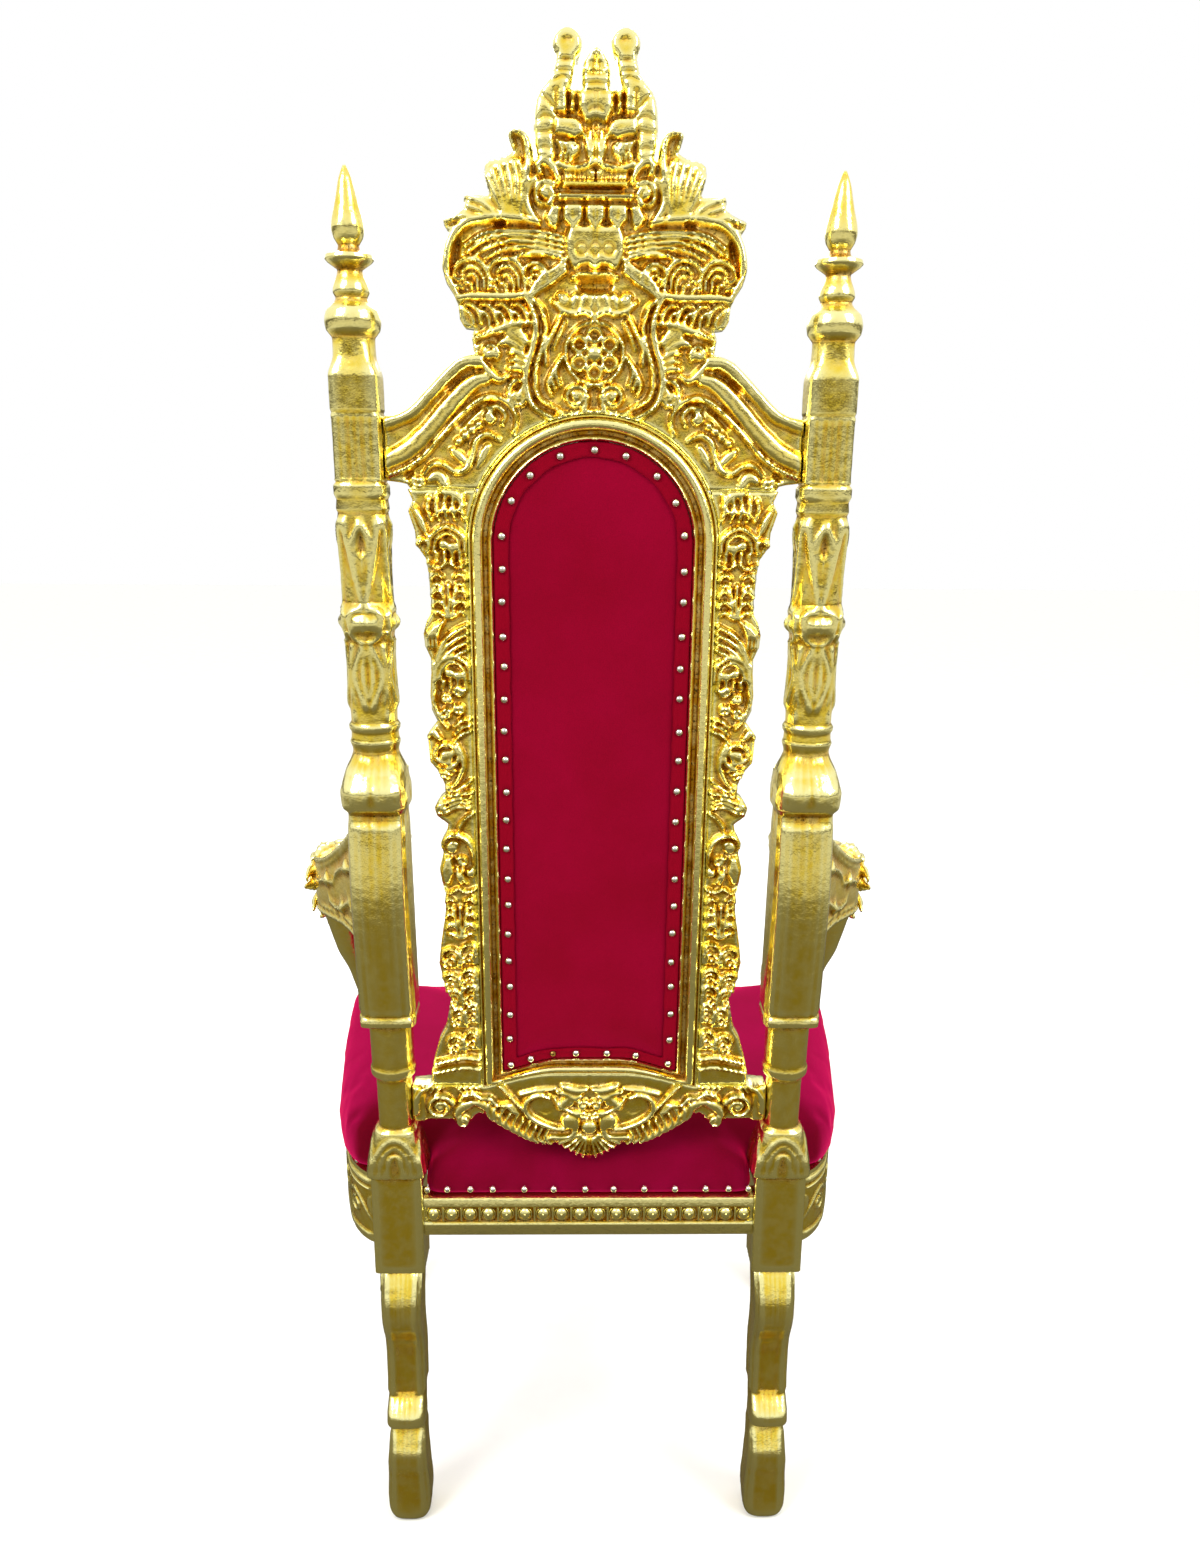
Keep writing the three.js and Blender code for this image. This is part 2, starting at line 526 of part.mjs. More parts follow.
// ---- the arms ----
function arm() {
  // Forward distance, X, middle height, half width, half height: from the post to the lion's neck.
  const path = [
    [30.6, 250, 938, 31, 158], [70, 256, 925, 30, 132], [120, 276, 896, 28, 96], [180, 312, 868, 28, 66],
    [245, 350, 842, 30, 50], [300, 374, 828, 34, 46], [366, 388, 828, 36, 44],
  ];
  const beam = loft(path.map(([f, x, z, wide, high]) => uprightRing(x, -f, z, wide, high, 4)));
  // Height, X, forward, half width, half depth: the front support, from the lion's chest to the seat.
  const support = [
    [842, 384, 356, 32, 36], [790, 384, 372, 32, 36], [740, 384, 388, 30, 34], [690, 378, 402, 26, 30],
    [650, 366, 418, 26, 28], [620, 356, 432, 30, 32], [CUSHION_TOP + 14, 348, 438, 32, 34],
  ];
  const front = loft(support.map(([z, x, f, wide, deep]) => ring(x, -f, z, wide, deep, 3)));
  const [lx, ly, lz] = [LION.x, LION.y, LION.z];
  const locks = Array.from({ length: 4 }, (_, i) => {
    const angle = ((i / 3) * 1.2 - 0.1) * Math.PI;
    return ball(lx + 32 * Math.cos(angle), ly - 12, lz + 40 * Math.sin(angle), 18, 24, 19, 5, 3);
  });
  const parts = [
    beam,
    front,
    ball(lx, ly - 26, lz + 6, 32, 48, 36, 8, 6), // the head
    ball(lx, ly - 74, lz - 12, 18, 24, 20, 6, 4), // the muzzle
    ...[1, -1].map((s) => ball(lx + s * 26, ly - 24, lz + 38, 10, 8, 11, 5, 3)), // ears
    ...locks,
    ball(lx + 8, ly - 12, lz - 62, 24, 30, 34, 6, 4), // the mane's fall
    ball(318, -452, CUSHION_TOP + 34, 22, 26, 22, 6, 5), // scroll at the foot of the support
  ];
  const room = box(-600, 600, -700, -30.6, CUSHION_TOP + 14, 1200);
  return join(parts).intersect(room);
}

// ---- put together ----
// The back leans from the seat blocks up; the arms follow it near the posts and stand upright at their fronts.
function leaned(geometry, reach = Infinity) {
  const place = geometry.attributes.position;
  for (let i = 0; i < place.count; i++) {
    const rise = Math.max(place.getZ(i) - PIVOT_Z, 0);
    const share = reach === Infinity ? 1 : 1 - Math.min(Math.max((-place.getY(i) - 31) / reach, 0), 1);
    place.setY(i, place.getY(i) + rise * LEAN * share);
  }
  return geometry;
}

const group = new THREE.Group();
function addNode(name, made, material, reach) {
  const geometry = leaned(geometryOf(made.simplify(0.3)), reach);
  const mesh = new THREE.Mesh(geometry, material);
  mesh.name = name;
  group.add(mesh);
}

const mirrored = (made) => made.mirror([1, 0, 0]);
addNode("rear_post_left", rearPost(), GOLD());
addNode("rear_post_right", mirrored(rearPost()), GOLD());
addNode("crest_rail", crestRail(), GOLD());
addNode("back_stile_left", stile(), GOLD());
addNode("back_stile_right", mirrored(stile()), GOLD());
addNode("back_lower_rail", lowerRail(), GOLD());
addNode("panel_moulding", panelMoulding(), GOLD());
addNode("back_panel", backPanel(), VELVET());
addNode("back_panel_band", backPanelBand(), BAND());
addNode("inside_back_pad", insidePad(), VELVET());
addNode("arm_left", arm(), GOLD(), ARM_REACH);
addNode("arm_right", mirrored(arm()), GOLD(), ARM_REACH);
addNode("seat_rail_rear", rearRail(), GOLD(), UPRIGHT);
addNode("seat_rail_left", sideRail(), GOLD(), UPRIGHT);
addNode("seat_rail_right", mirrored(sideRail()), GOLD(), UPRIGHT);
addNode("seat_rail_front", frontRail(), GOLD(), UPRIGHT);
addNode("front_leg_left", frontLeg(), GOLD(), UPRIGHT);
addNode("front_leg_right", mirrored(frontLeg()), GOLD(), UPRIGHT);
addNode("seat_cushion", cushion(), VELVET(), UPRIGHT);

// The origin is under the middle of the whole throne, on the floor.
const bounds = new THREE.Box3().setFromObject(group);
const middle = (bounds.min.y + bounds.max.y) / 2;
group.children.forEach((mesh) => mesh.geometry.translate(0, -middle, -bounds.min.z));

export default group;
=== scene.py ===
"""A carved and gilded throne with velvet upholstery, dressed around its packed solids.

The gold is gold leaf over carved wood. Each carved board is a field of heights inside an outline, drawn
with a few kinds of chisel stroke, and made a closed mesh. Posts and legs are the same fields wrapped round
their turned shapes. Sizes inside the carving functions are millimetres; meshes and the frame are metres.
"""

import math

import bpy
import numpy as np
from bpy.props import FloatProperty, IntProperty, PointerProperty, StringProperty
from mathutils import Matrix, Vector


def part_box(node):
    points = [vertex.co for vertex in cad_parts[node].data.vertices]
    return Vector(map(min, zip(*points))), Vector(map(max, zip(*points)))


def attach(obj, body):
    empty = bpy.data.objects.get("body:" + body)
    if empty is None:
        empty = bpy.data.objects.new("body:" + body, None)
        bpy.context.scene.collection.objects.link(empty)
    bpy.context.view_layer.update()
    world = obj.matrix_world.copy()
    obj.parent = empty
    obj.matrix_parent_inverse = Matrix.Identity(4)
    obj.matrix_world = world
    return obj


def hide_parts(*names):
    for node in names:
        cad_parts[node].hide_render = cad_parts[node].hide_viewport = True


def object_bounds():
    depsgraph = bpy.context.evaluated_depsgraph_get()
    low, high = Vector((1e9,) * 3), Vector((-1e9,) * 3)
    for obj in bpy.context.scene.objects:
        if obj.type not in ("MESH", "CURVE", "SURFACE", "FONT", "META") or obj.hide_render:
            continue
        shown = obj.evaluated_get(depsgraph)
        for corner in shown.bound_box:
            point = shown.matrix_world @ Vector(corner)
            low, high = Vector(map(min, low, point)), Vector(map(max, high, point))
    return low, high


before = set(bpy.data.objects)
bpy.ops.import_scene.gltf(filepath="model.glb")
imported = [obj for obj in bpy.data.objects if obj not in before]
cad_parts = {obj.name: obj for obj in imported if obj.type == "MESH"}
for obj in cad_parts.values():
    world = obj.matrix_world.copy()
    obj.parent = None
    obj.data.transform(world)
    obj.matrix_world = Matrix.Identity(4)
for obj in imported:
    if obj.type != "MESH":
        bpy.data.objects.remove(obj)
CAD_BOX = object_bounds()

bl_info = {
    "name": "Gilded Throne",
    "version": (1, 0, 0),
    "blender": (4, 5, 0),
    "location": "View3D > Sidebar > Throne",
    "description": "Carved gold-leaf throne with velvet upholstery, domed nails and lion arms",
    "category": "Add Mesh",
}

MM = 0.001
BODY = "root"

# ---- places taken from the frame ----
REAR_RAIL_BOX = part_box("seat_rail_rear")
RAIL_FRONT_SETBACK = 8  # the rear rail's front face stands this far before the posts' middle plane
POST_Y = REAR_RAIL_BOX[0][1] / MM + RAIL_FRONT_SETBACK
RAIL_TOP = REAR_RAIL_BOX[1][2] / MM
REAR_RAIL_FOOT = REAR_RAIL_BOX[0][2] / MM
RAIL_EDGE = REAR_RAIL_BOX[1][0] / MM
SIDE_RAIL_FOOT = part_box("seat_rail_left")[0][2] / MM
STILE_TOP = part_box("back_stile_left")[1][2] / MM
STILE_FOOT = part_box("back_stile_left")[0][2] / MM
PANEL_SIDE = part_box("back_panel")[1][0] / MM
PANEL_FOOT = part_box("back_panel")[0][2] / MM
ARCH_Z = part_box("back_panel")[1][2] / MM - PANEL_SIDE
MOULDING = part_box("panel_moulding")[1][0] / MM - PANEL_SIDE
CREST_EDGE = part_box("crest_rail")[1][0] / MM
CREST_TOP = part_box("crest_rail")[1][2] / MM
FRONT_RAIL_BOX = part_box("seat_rail_front")

LEAN = math.tan(math.radians(4.2))
PIVOT_Z = 541  # the lean starts on top of the seat blocks
DEEPEST_REAR = CAD_BOX[1][1] / MM - POST_Y - 0.4
POST_X = 248
BOARD_REAR = 5
BOARD_FRONT = -21
GAP = 0.3
TAU = 2 * math.pi


def leaned(points, share=1.0):
    """Moves points (millimetres, y from the posts' middle plane) to the leaning back, in metres."""
    out = np.array(points, float)
    out[:, 1] += POST_Y + np.maximum(out[:, 2] - PIVOT_Z, 0) * LEAN * share
    return out * MM


def upright(points):
    """The same for the parts that stand upright."""
    return leaned(points, 0.0)


# ---- lines and distances ----
def curve(points, steps=5):
    """A smooth line through a few points."""
    p = np.asarray(points, float)
    ends = np.vstack([2 * p[0] - p[1], p, 2 * p[-1] - p[-2]])
    out = []
    for a, b, c, d in zip(ends, ends[1:], ends[2:], ends[3:]):
        for t in np.arange(steps) / steps:
            bend = (2 * a - 5 * b + 4 * c - d) * t ** 2 + (-a + 3 * b - 3 * c + d) * t ** 3
            out.append(0.5 * (2 * b + (c - a) * t + bend))
    out.append(p[-1])
    return np.array(out)


def spiral(centre, radius, inner, start, turns, steps=10):
    """Points of a spiral: start in turns anticlockwise from +X, turns may be negative."""
    t = np.linspace(0, 1, max(4, int(abs(turns) * steps) + 1))
    reach = radius + (inner - radius) * t
    angle = (start + turns * t) * TAU
    return np.column_stack([centre[0] + reach * np.cos(angle), centre[1] + reach * np.sin(angle)])


def circle(centre, radius, steps):
    """Points of a full circle, the first one repeated at the end."""
    return spiral(centre, radius, radius, 0, 1, steps)


def passed(line):
    """The length of a line up to each of its points."""
    return np.concatenate([[0], np.cumsum(np.hypot(*np.diff(line, axis=0).T))])


def beside(line, x, z):
    """Signed distance from a line (left of its run is positive), and the share of its length passed."""
    best = np.full(x.shape, 1e12)
    side = np.ones(x.shape)
    share = np.zeros(x.shape)
    steps = np.hypot(*np.diff(line, axis=0).T)
    reached = np.concatenate([[0], np.cumsum(steps)])
    for i, length in enumerate(steps):
        if length < 1e-9:
            continue
        (ax, az), (dx, dz) = line[i], line[i + 1] - line[i]
        t = np.clip(((x - ax) * dx + (z - az) * dz) / length ** 2, 0, 1)
        px, pz = x - ax - t * dx, z - az - t * dz
        square = px * px + pz * pz
        close = square < best
        best = np.where(close, square, best)
        side = np.where(close, np.where(dx * pz - dz * px >= 0, 1.0, -1.0), side)
        share = np.where(close, (reached[i] + t * length) / reached[-1], share)
    return np.sqrt(best) * side, share


def inside_of(outline, x, z):
    """Distance inside a closed outline, negative outside it."""
    ring = np.vstack([outline, outline[:1]])
    away, _ = beside(ring, x, z)
    odd = np.zeros(x.shape, bool)
    for (ax, az), (bx, bz) in zip(ring, ring[1:]):
        if az == bz:
            continue
        odd ^= ((az > z) != (bz > z)) & (x < (bx - ax) * (z - az) / (bz - az) + ax)
    return np.where(odd, 1, -1) * np.abs(away)


def between(t, values):
    """Values spaced evenly over 0 to 1."""
    values = np.atleast_1d(values)
    return np.interp(t, np.linspace(0, 1, len(values)), values)


def panel_distance(x, z, foot_reach=PANEL_SIDE + MOULDING):
    """How far a point is outside the edge of the upholstered panel."""
    x = np.abs(x)
    arch = np.hypot(x, z - ARCH_Z) - PANEL_SIDE
    low = (PANEL_FOOT + foot_rise(x / foot_reach) - z) / 0.8
    return np.where(z > ARCH_Z, arch, np.maximum(x - PANEL_SIDE, low))


def foot_rise(share):
    """The panel's foot is bowed upwards in its middle."""
    return 19 * np.sin(np.clip((1 - np.abs(share)) / 0.7, 0, 1) * math.pi / 2) ** 1.3


# ---- chisel strokes ----
class Carving:
    """Heights above a ground, over x (across) and z (up), in millimetres."""

    def __init__(self, across, up):
        self.across, self.up = np.asarray(across, float), np.asarray(up, float)
        self.x, self.z = np.meshgrid(self.across, self.up)
        self.height = np.zeros(self.x.shape)
        self.inside = np.full(self.x.shape, 1e3)

    def window(self, line, reach):
        """The part of the field that a stroke can touch."""
        low, high = np.min(line, axis=0) - reach, np.max(line, axis=0) + reach
        rows = slice(*np.searchsorted(self.up, [low[1], high[1]]))
        columns = slice(*np.searchsorted(self.across, [low[0], high[0]]))
        return rows, columns

    def lift(self, where, height, outline=None):
        """Wood stands wherever the highest stroke leaves it."""
        self.height[where] = np.maximum(self.height[where], height)
        if outline is not None:
            self.inside[where] = np.maximum(self.inside[where], outline)

    def strand(self, points, width, rise=6.0, grooves=0, soft=0.5, edge=False):
        """A rounded member of one or more widths along a line, with grooves cut along it."""
        line = curve(points)
        where = self.window(line, np.max(width))
        side, t = beside(line, self.x[where], self.z[where])
        half = between(t, width) / 2
        u = np.clip(np.abs(side) / half, 0, 1)
        body = (1 - u ** 2) ** soft
        if grooves:
            body = body * (1 - 0.26 * (0.5 - 0.5 * np.cos(TAU * (grooves + 1) * (0.5 + 0.5 * u))) ** 2)
        self.lift(where, between(t, rise) * body, half - np.abs(side) if edge else None)

    def leaf(self, points, width, rise=7.0, veins=2, lobes=0, blunt=0.6, edge=False):
        """A leaf from its foot to its tip, fluted along its length, hollow between a rib and its rims."""
        line = curve(points)
        where = self.window(line, width)
        side, t = beside(line, self.x[where], self.z[where])
        half = width / 2 * np.sin(math.pi * np.clip(0.16 + 0.84 * t, 0, 1)) ** blunt
        if lobes:
            half = half * (0.8 + 0.2 * np.abs(np.sin(math.pi * lobes * t)))
        half = np.maximum(half, 0.05)
        u = side / half
        body = np.clip(1 - u ** 2, 0, 1) ** 0.42
        flutes = 0.5 + 0.5 * np.cos(TAU * veins * u + 1.4 * t)
        shape = body * (0.62 + 0.3 * flutes * (1 - t * 0.4) + 0.12 * t)
        self.lift(where, rise * shape, half - np.abs(side) if edge else None)

    def volute(self, centre, radius, start, turns, width=6.0, rise=7.0, eye=0.3, grooves=0):
        """A scroll that winds in to a round eye."""
        self.strand(spiral(centre, radius - width / 2, radius * eye, start, turns), (width, width * 0.7),
                    rise, grooves)
        self.boss(centre, radius * eye * 1.1, rise * 1.05)

    def boss(self, centre, radius, rise=6.0, edge=False):
        """A domed button."""
        rx, rz = np.broadcast_to(radius, 2)
        where = self.window(np.array([centre]), max(rx, rz) + 1)
        away = np.hypot((self.x[where] - centre[0]) / rx, (self.z[where] - centre[1]) / rz)
        body = np.sqrt(np.clip(1 - away ** 2, 0, 1))
        self.lift(where, rise * body, (1 - away) * min(rx, rz) if edge else None)

    def fan(self, centre, inner, outer, start, end, ribs, rise=7.0, edge=False):
        """A shell: ribs that spread from a centre between two angles, in turns, with scalloped ends."""
        where = self.window(np.array([centre]), outer + 2)
        dx, dz = self.x[where] - centre[0], self.z[where] - centre[1]
        away = np.hypot(dx, dz)
        middle = (start + end) / 2
        turn = (np.arctan2(dz, dx) / TAU - middle + 0.5) % 1 - 0.5
        share = turn / (end - start) + 0.5
        wave = np.abs(np.sin(math.pi * ribs * share))
        end_at = outer * (0.9 + 0.1 * wave)
        span = np.clip((end_at - away) / 3, 0, 1) ** 0.5 * np.clip((away - inner) / 2, 0, 1)
        held = np.clip(np.minimum(share, 1 - share) * 25, 0, 1)
        shape = span * held * (0.4 + 0.6 * wave ** 0.7)
        self.lift(where, rise * shape, np.where(held > 0, end_at - away, -9.0) if edge else None)

    def block(self, low, high, rise=6.0, ease=2.5):
        """A flat-topped block with eased edges."""
        where = self.window(np.array([low, high], float), 1)
        x, z = self.x[where], self.z[where]
        room = np.minimum(np.minimum(x - low[0], high[0] - x), np.minimum(z - low[1], high[1] - z))
        self.lift(where, rise * np.clip(room / ease, 0, 1) ** 0.5)

    def area(self, outline, rise=6.0, ease=5.0):
        """A raised, gently rounded area inside an outline."""
        outline = np.asarray(outline, float)
        where = self.window(outline, 1)
        room = inside_of(outline, self.x[where], self.z[where])
        self.lift(where, rise * np.sin(np.clip(room / ease, 0, 1) * math.pi / 2))

    def groove(self, points, width=2.5, depth=3.0):
        """A line cut into whatever stands there."""
        line = curve(points)
        where = self.window(line, np.max(width) + 1)
        side, t = beside(line, self.x[where], self.z[where])
        u = np.clip(np.abs(side) / (between(t, width) / 2), 0, 1)
        self.height[where] -= between(t, depth) * (1 - u ** 2) ** 0.8

    def hollow(self, outline, depth=4.0, ease=4.0):
        """A sunk area inside an outline."""
        outline = np.asarray(outline, float)
        where = self.window(outline, 1)
        room = inside_of(outline, self.x[where], self.z[where])
        self.height[where] -= depth * np.clip(room / ease, 0, 1)

    def pebbles(self, centre, radius, pitch=5.0, depth=2.2):
        """Ground worked with a round punch."""
        where = self.window(np.array([centre]), radius)
        x, z = self.x[where] - centre[0], self.z[where] - centre[1]
        dots = np.sin(TAU * x / pitch) * np.sin(TAU * (z + x * 0.5) / pitch)
        held = np.clip((radius - np.hypot(x, z)) / 3, 0, 1)
        self.height[where] -= depth * held * (0.5 + 0.5 * dots)

    def beads(self, points, count, radius, rise=5.0):
        """A row of round beads along a line."""
        line = curve(points)
        steps = passed(line)
        for place in (np.arange(count) + 0.5) / count * steps[-1]:
            centre = (np.interp(place, steps, line[:, 0]), np.interp(place, steps, line[:, 1]))
            self.boss(centre, radius, rise)

    def tooled(self, amount=0.25, seed=3):
        """The slight unevenness that a gouge leaves."""
        x, z = self.x, self.z
        waves = np.zeros(x.shape)
        for k in range(4):
            angle = seed + k * 1.9
            pitch = 9.0 + 5 * k
            waves += np.sin(TAU * (x * math.cos(angle) + z * math.sin(angle)) / pitch + 2.3 * k)
        self.height += amount * waves / 4

    def pack(self, share=1.0, top=10.0, reach=3.6):
        """Fills the ornament out, so that its members touch and only narrow cuts part them."""
        full = top * (1 - np.exp(-np.maximum(self.height, 0) / reach)) + np.minimum(self.height, 0)
        self.height += share * (full - self.height)

    def soften(self, times=1):
        """Gesso and leaf round every edge a little."""
        for _ in range(times):
            for axis in (0, 1):
                h = self.height
                near = (np.roll(h, 1, axis) + np.roll(h, -1, axis)) / 2
                near[tuple(slice(None) if a != axis else [0, -1] for a in (0, 1))] = \
                    h[tuple(slice(None) if a != axis else [0, -1] for a in (0, 1))]
                self.height = 0.5 * h + 0.5 * near

    def both_halves(self):
        """The whole field from the half at x >= 0."""
        whole = Carving(np.concatenate([-self.across[:0:-1], self.across]), self.up)
        whole.height = np.hstack([self.height[:, :0:-1], self.height])
        whole.inside = np.hstack([self.inside[:, :0:-1], self.inside])
        return whole


# ---- meshes ----
def plate(field, rear, front, ease=3.5):
    """A carved board: both faces follow their heights inside the outline, and a wall joins them round it."""
    inside = field.inside.copy()
    inside[[0, -1], :] = -1
    inside[:, [0, -1]] = -1
    inside[np.abs(inside) < 1e-3] = 1e-3
    drop = ease * (1 - np.sqrt(1 - (1 - np.clip(inside / ease, 0, 1)) ** 2))
    spots = np.stack([field.x, rear - drop, field.z, front + drop], axis=-1)
    keep = inside > 0
    number = np.full(inside.shape, -1)
    number[keep] = np.arange(keep.sum())
    made = [spots[keep]]
    total = int(keep.sum())
    crossed = []
    for axis in (1, 0):
        near = tuple(slice(None, -1) if a == axis else slice(None) for a in (0, 1))
        far = tuple(slice(1, None) if a == axis else slice(None) for a in (0, 1))
        cut = keep[near] != keep[far]
        own = inside[near][cut]
        t = (own / (own - inside[far][cut]))[:, None]
        made.append(spots[near][cut] * (1 - t) + spots[far][cut] * t)
        ids = np.full(cut.shape, -1)
        ids[cut] = total + np.arange(cut.sum())
        total += int(cut.sum())
        crossed.append(ids)
    across, up = crossed
    corners = keep[:-1, :-1].astype(int) + keep[:-1, 1:] + keep[1:, 1:] + keep[1:, :-1]
    full = corners == 4
    quads = np.stack([number[:-1, :-1][full], number[:-1, 1:][full], number[1:, 1:][full],
                      number[1:, :-1][full]], axis=-1).tolist()
    walls = []
    for k, i in np.argwhere((corners > 0) & (corners < 4)):
        ring = [number[k, i], number[k, i + 1], number[k + 1, i + 1], number[k + 1, i]]
        cuts = [across[k, i], up[k, i + 1], across[k + 1, i], up[k, i]]
        face = [int(v) for pair in zip(ring, cuts) for v in pair if v >= 0]
        marks = [kind for pair in zip(ring, cuts) for kind, v in zip((0, 1), pair) if v >= 0]
        quads.append(face)
        for a in range(len(face)):
            b = (a + 1) % len(face)
            if marks[a] and marks[b]:
                walls.append((face[a], face[b]))
    spots = np.concatenate(made)
    points = np.concatenate([spots[:, :3], spots[:, [0, 3, 2]]])
    faces = [face[::-1] for face in quads]
    faces += [[v + total for v in face] for face in quads]
    faces += [[b + total, a + total, a, b] for a, b in walls]
    return points, faces


def skin(rings, closed=True, caps=True):
    """Faces between rings of equal counts: an array of (rings, points, 3)."""
    rings = np.asarray(rings, float)
    rows, count = rings.shape[:2]
    a = np.arange(rows - 1)[:, None] * count + np.arange(count if closed else count - 1)[None, :]
    b = np.arange(rows - 1)[:,
                            None] * count + (np.arange(count if closed else count - 1)[None, :] + 1) % count
    faces = np.stack([a, b, b + count, a + count], axis=-1).reshape(-1, 4).tolist()
    if caps:
        faces.append(list(range(count))[::-1])
        faces.append(list(range((rows - 1) * count, rows * count)))
    return rings.reshape(-1, 3), faces


def linked(name, data):
    """A new object in the scene."""
    made = bpy.data.objects.new(name, data)
    bpy.context.scene.collection.objects.link(made)
    return made


def raw_mesh(name, points_mm, faces):
    """A bare mesh from points in millimetres."""
    mesh = bpy.data.meshes.new(name)
    mesh.from_pydata((points_mm * MM).tolist(), [], faces)
    return mesh


def evaluated(holder):
    """A plain mesh of an object with its modifiers applied."""
    bpy.context.view_layer.update()
    return bpy.data.meshes.new_from_object(holder.evaluated_get(bpy.context.evaluated_depsgraph_get()))


def read_all(items, key, kind=int, width=1):
    """One value of every item of a mesh's collection, as an array."""
    values = np.empty(len(items) * width, kind)
    items.foreach_get(key, values)
    return values.reshape(-1, width) if width > 1 else values


def recesses(mesh, reach=7):
    """Marks how deep each point lies below its surroundings, in millimetres, for the gold's painted highlight
    and shade, its dark speckles and its roughness.
    """
    count = len(mesh.vertices)
    place = read_all(mesh.vertices, "co", float, 3) / MM
    a, b = read_all(mesh.edges, "vertices", int, 2).T
    degree = np.maximum(np.bincount(a, minlength=count) + np.bincount(b, minlength=count), 1)
    spread = place.copy()
    for _ in range(reach):
        for axis in range(3):
            v = spread[:, axis]
            total = np.bincount(a, v[b], count) + np.bincount(b, v[a], count)
            spread[:, axis] = total / degree
    normal = read_all(mesh.vertices, "normal", float, 3)
    depth = np.einsum("ij,ij->i", spread - place, normal)
    if "recess" not in mesh.attributes:
        mesh.attributes.new("recess", "FLOAT", "POINT")
    mesh.attributes["recess"].data.foreach_set("value", depth.astype(np.float32))


def add_piece(name, points, faces, material, crease=55.0):
    """A finished mesh object at the origin, its points already in metres."""
    mesh = bpy.data.meshes.new(name)
    mesh.from_pydata(np.asarray(points).tolist(), [], faces)
    mesh.validate()
    mesh.update()
    return finish_piece(name, mesh, material, crease)


def finish_piece(name, mesh, material, crease=55.0):
    """Smooth shading with sharp edges kept, one material, linked to the scene."""
    mesh.name = name
    mesh.shade_smooth()
    mesh.set_sharp_from_angle(angle=math.radians(crease))
    mesh.materials.clear()
    mesh.materials.append(material)
    recesses(mesh)
    return linked(name, mesh)


def mirror_copy(points, faces):
    """The same shape on the other side of the throne, its faces still outwards."""
    other = np.array(points, float)
    other[:, 0] *= -1
    return other, [face[::-1] for face in faces]


def join_parts(parts):
    """Several (points, faces) as one."""
    points, faces, start = [], [], 0
    for some, their in parts:
        points.append(np.asarray(some, float))
        faces += [[v + start for v in face] for face in their]
        start += len(some)
    return np.concatenate(points), faces


def dress(piece, slot, *nodes):
    """A finished piece rides on the throne and stands for its solids."""
    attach(piece, BODY)
    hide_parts(*nodes)


# ---- the carved boards of the back ----
CREST_BLOCK_TOP = 1781
STILE_TOP_DRAWN = 1404  # the boards are drawn to here and trimmed to the solids' own joint
STILE_SPAN = (126, 204)
LOWER_RAIL_SPAN = 232
LOWER_RAIL_FOOT, LOWER_RAIL_TOP = 562, 692
DRAWN_BEYOND = 4  # a field reaches this far past the board drawn in it


def crest_outline():
    """Half of the crest rail from the crown's block down to the shoulder's foot."""
    crown = [(0, 1781), (25, 1781), (50, 1783), (54, 1772), (57, 1752), (58, 1738), (55, 1723)]
    leaves = [(61, 1719), (62, 1728), (64, 1735), (68, 1743), (73, 1746), (78, 1746.5), (84, 1744),
              (86, 1741), (84, 1733), (81, 1727), (90, 1722), (104, 1719), (109, 1715), (110, 1708),
              (108, 1698), (105, 1688), (129, 1689), (131, 1683), (129, 1676), (140, 1671), (152, 1666),
              (151, 1660), (146, 1653)]
    wing = [(150, 1642), (153, 1632), (154, 1621), (150, 1606), (142, 1594), (139, 1586), (138, 1573),
            (134, 1566), (123, 1564.5), (126, 1557), (125, 1548), (124, 1541)]
    shoulder = [(132, 1538.5), (145, 1533), (160, 1519), (180, 1499), (195, 1485), (205, 1480), (225, 1477),
                (225, 1413), (205, 1410.5), (199, 1409), (196, STILE_TOP + GAP), (0, STILE_TOP + GAP)]
    return np.array(crown + leaves + wing + shoulder, float)


def breaking_wave(c, foot, wide, tall, rise=8.0):
    """A curl like a breaking wave: a crest that turns over to one side, and ribs nested under it."""
    def at(u, v):
        return foot[0] + u * wide, foot[1] + v * tall

    thick = max(wide / 36, 0.72)
    c.strand([at(0, 0), at(0.02, 0.5), at(0.22, 0.9), at(0.55, 1), at(0.88, 0.85), at(1, 0.55), at(0.86, 0.3),
              at(0.7, 0.42)], [thick * w for w in (3, 5, 6, 6, 5, 4.5, 4, 2.5)], rise + 1.5)
    for line in (((0.15, 0), (0.17, 0.42), (0.36, 0.74), (0.6, 0.76), (0.74, 0.6)),
                 ((0.31, 0), (0.33, 0.34), (0.46, 0.53), (0.58, 0.48)),
                 ((0.5, 0), (0.54, 0.2), (0.68, 0.22)), ((0.74, 0), (0.82, 0.12), (0.96, 0.1))):
        c.strand([at(u, v) for u, v in line], (2.6 * thick, 4.6 * thick, 3 * thick), rise, soft=0.7)


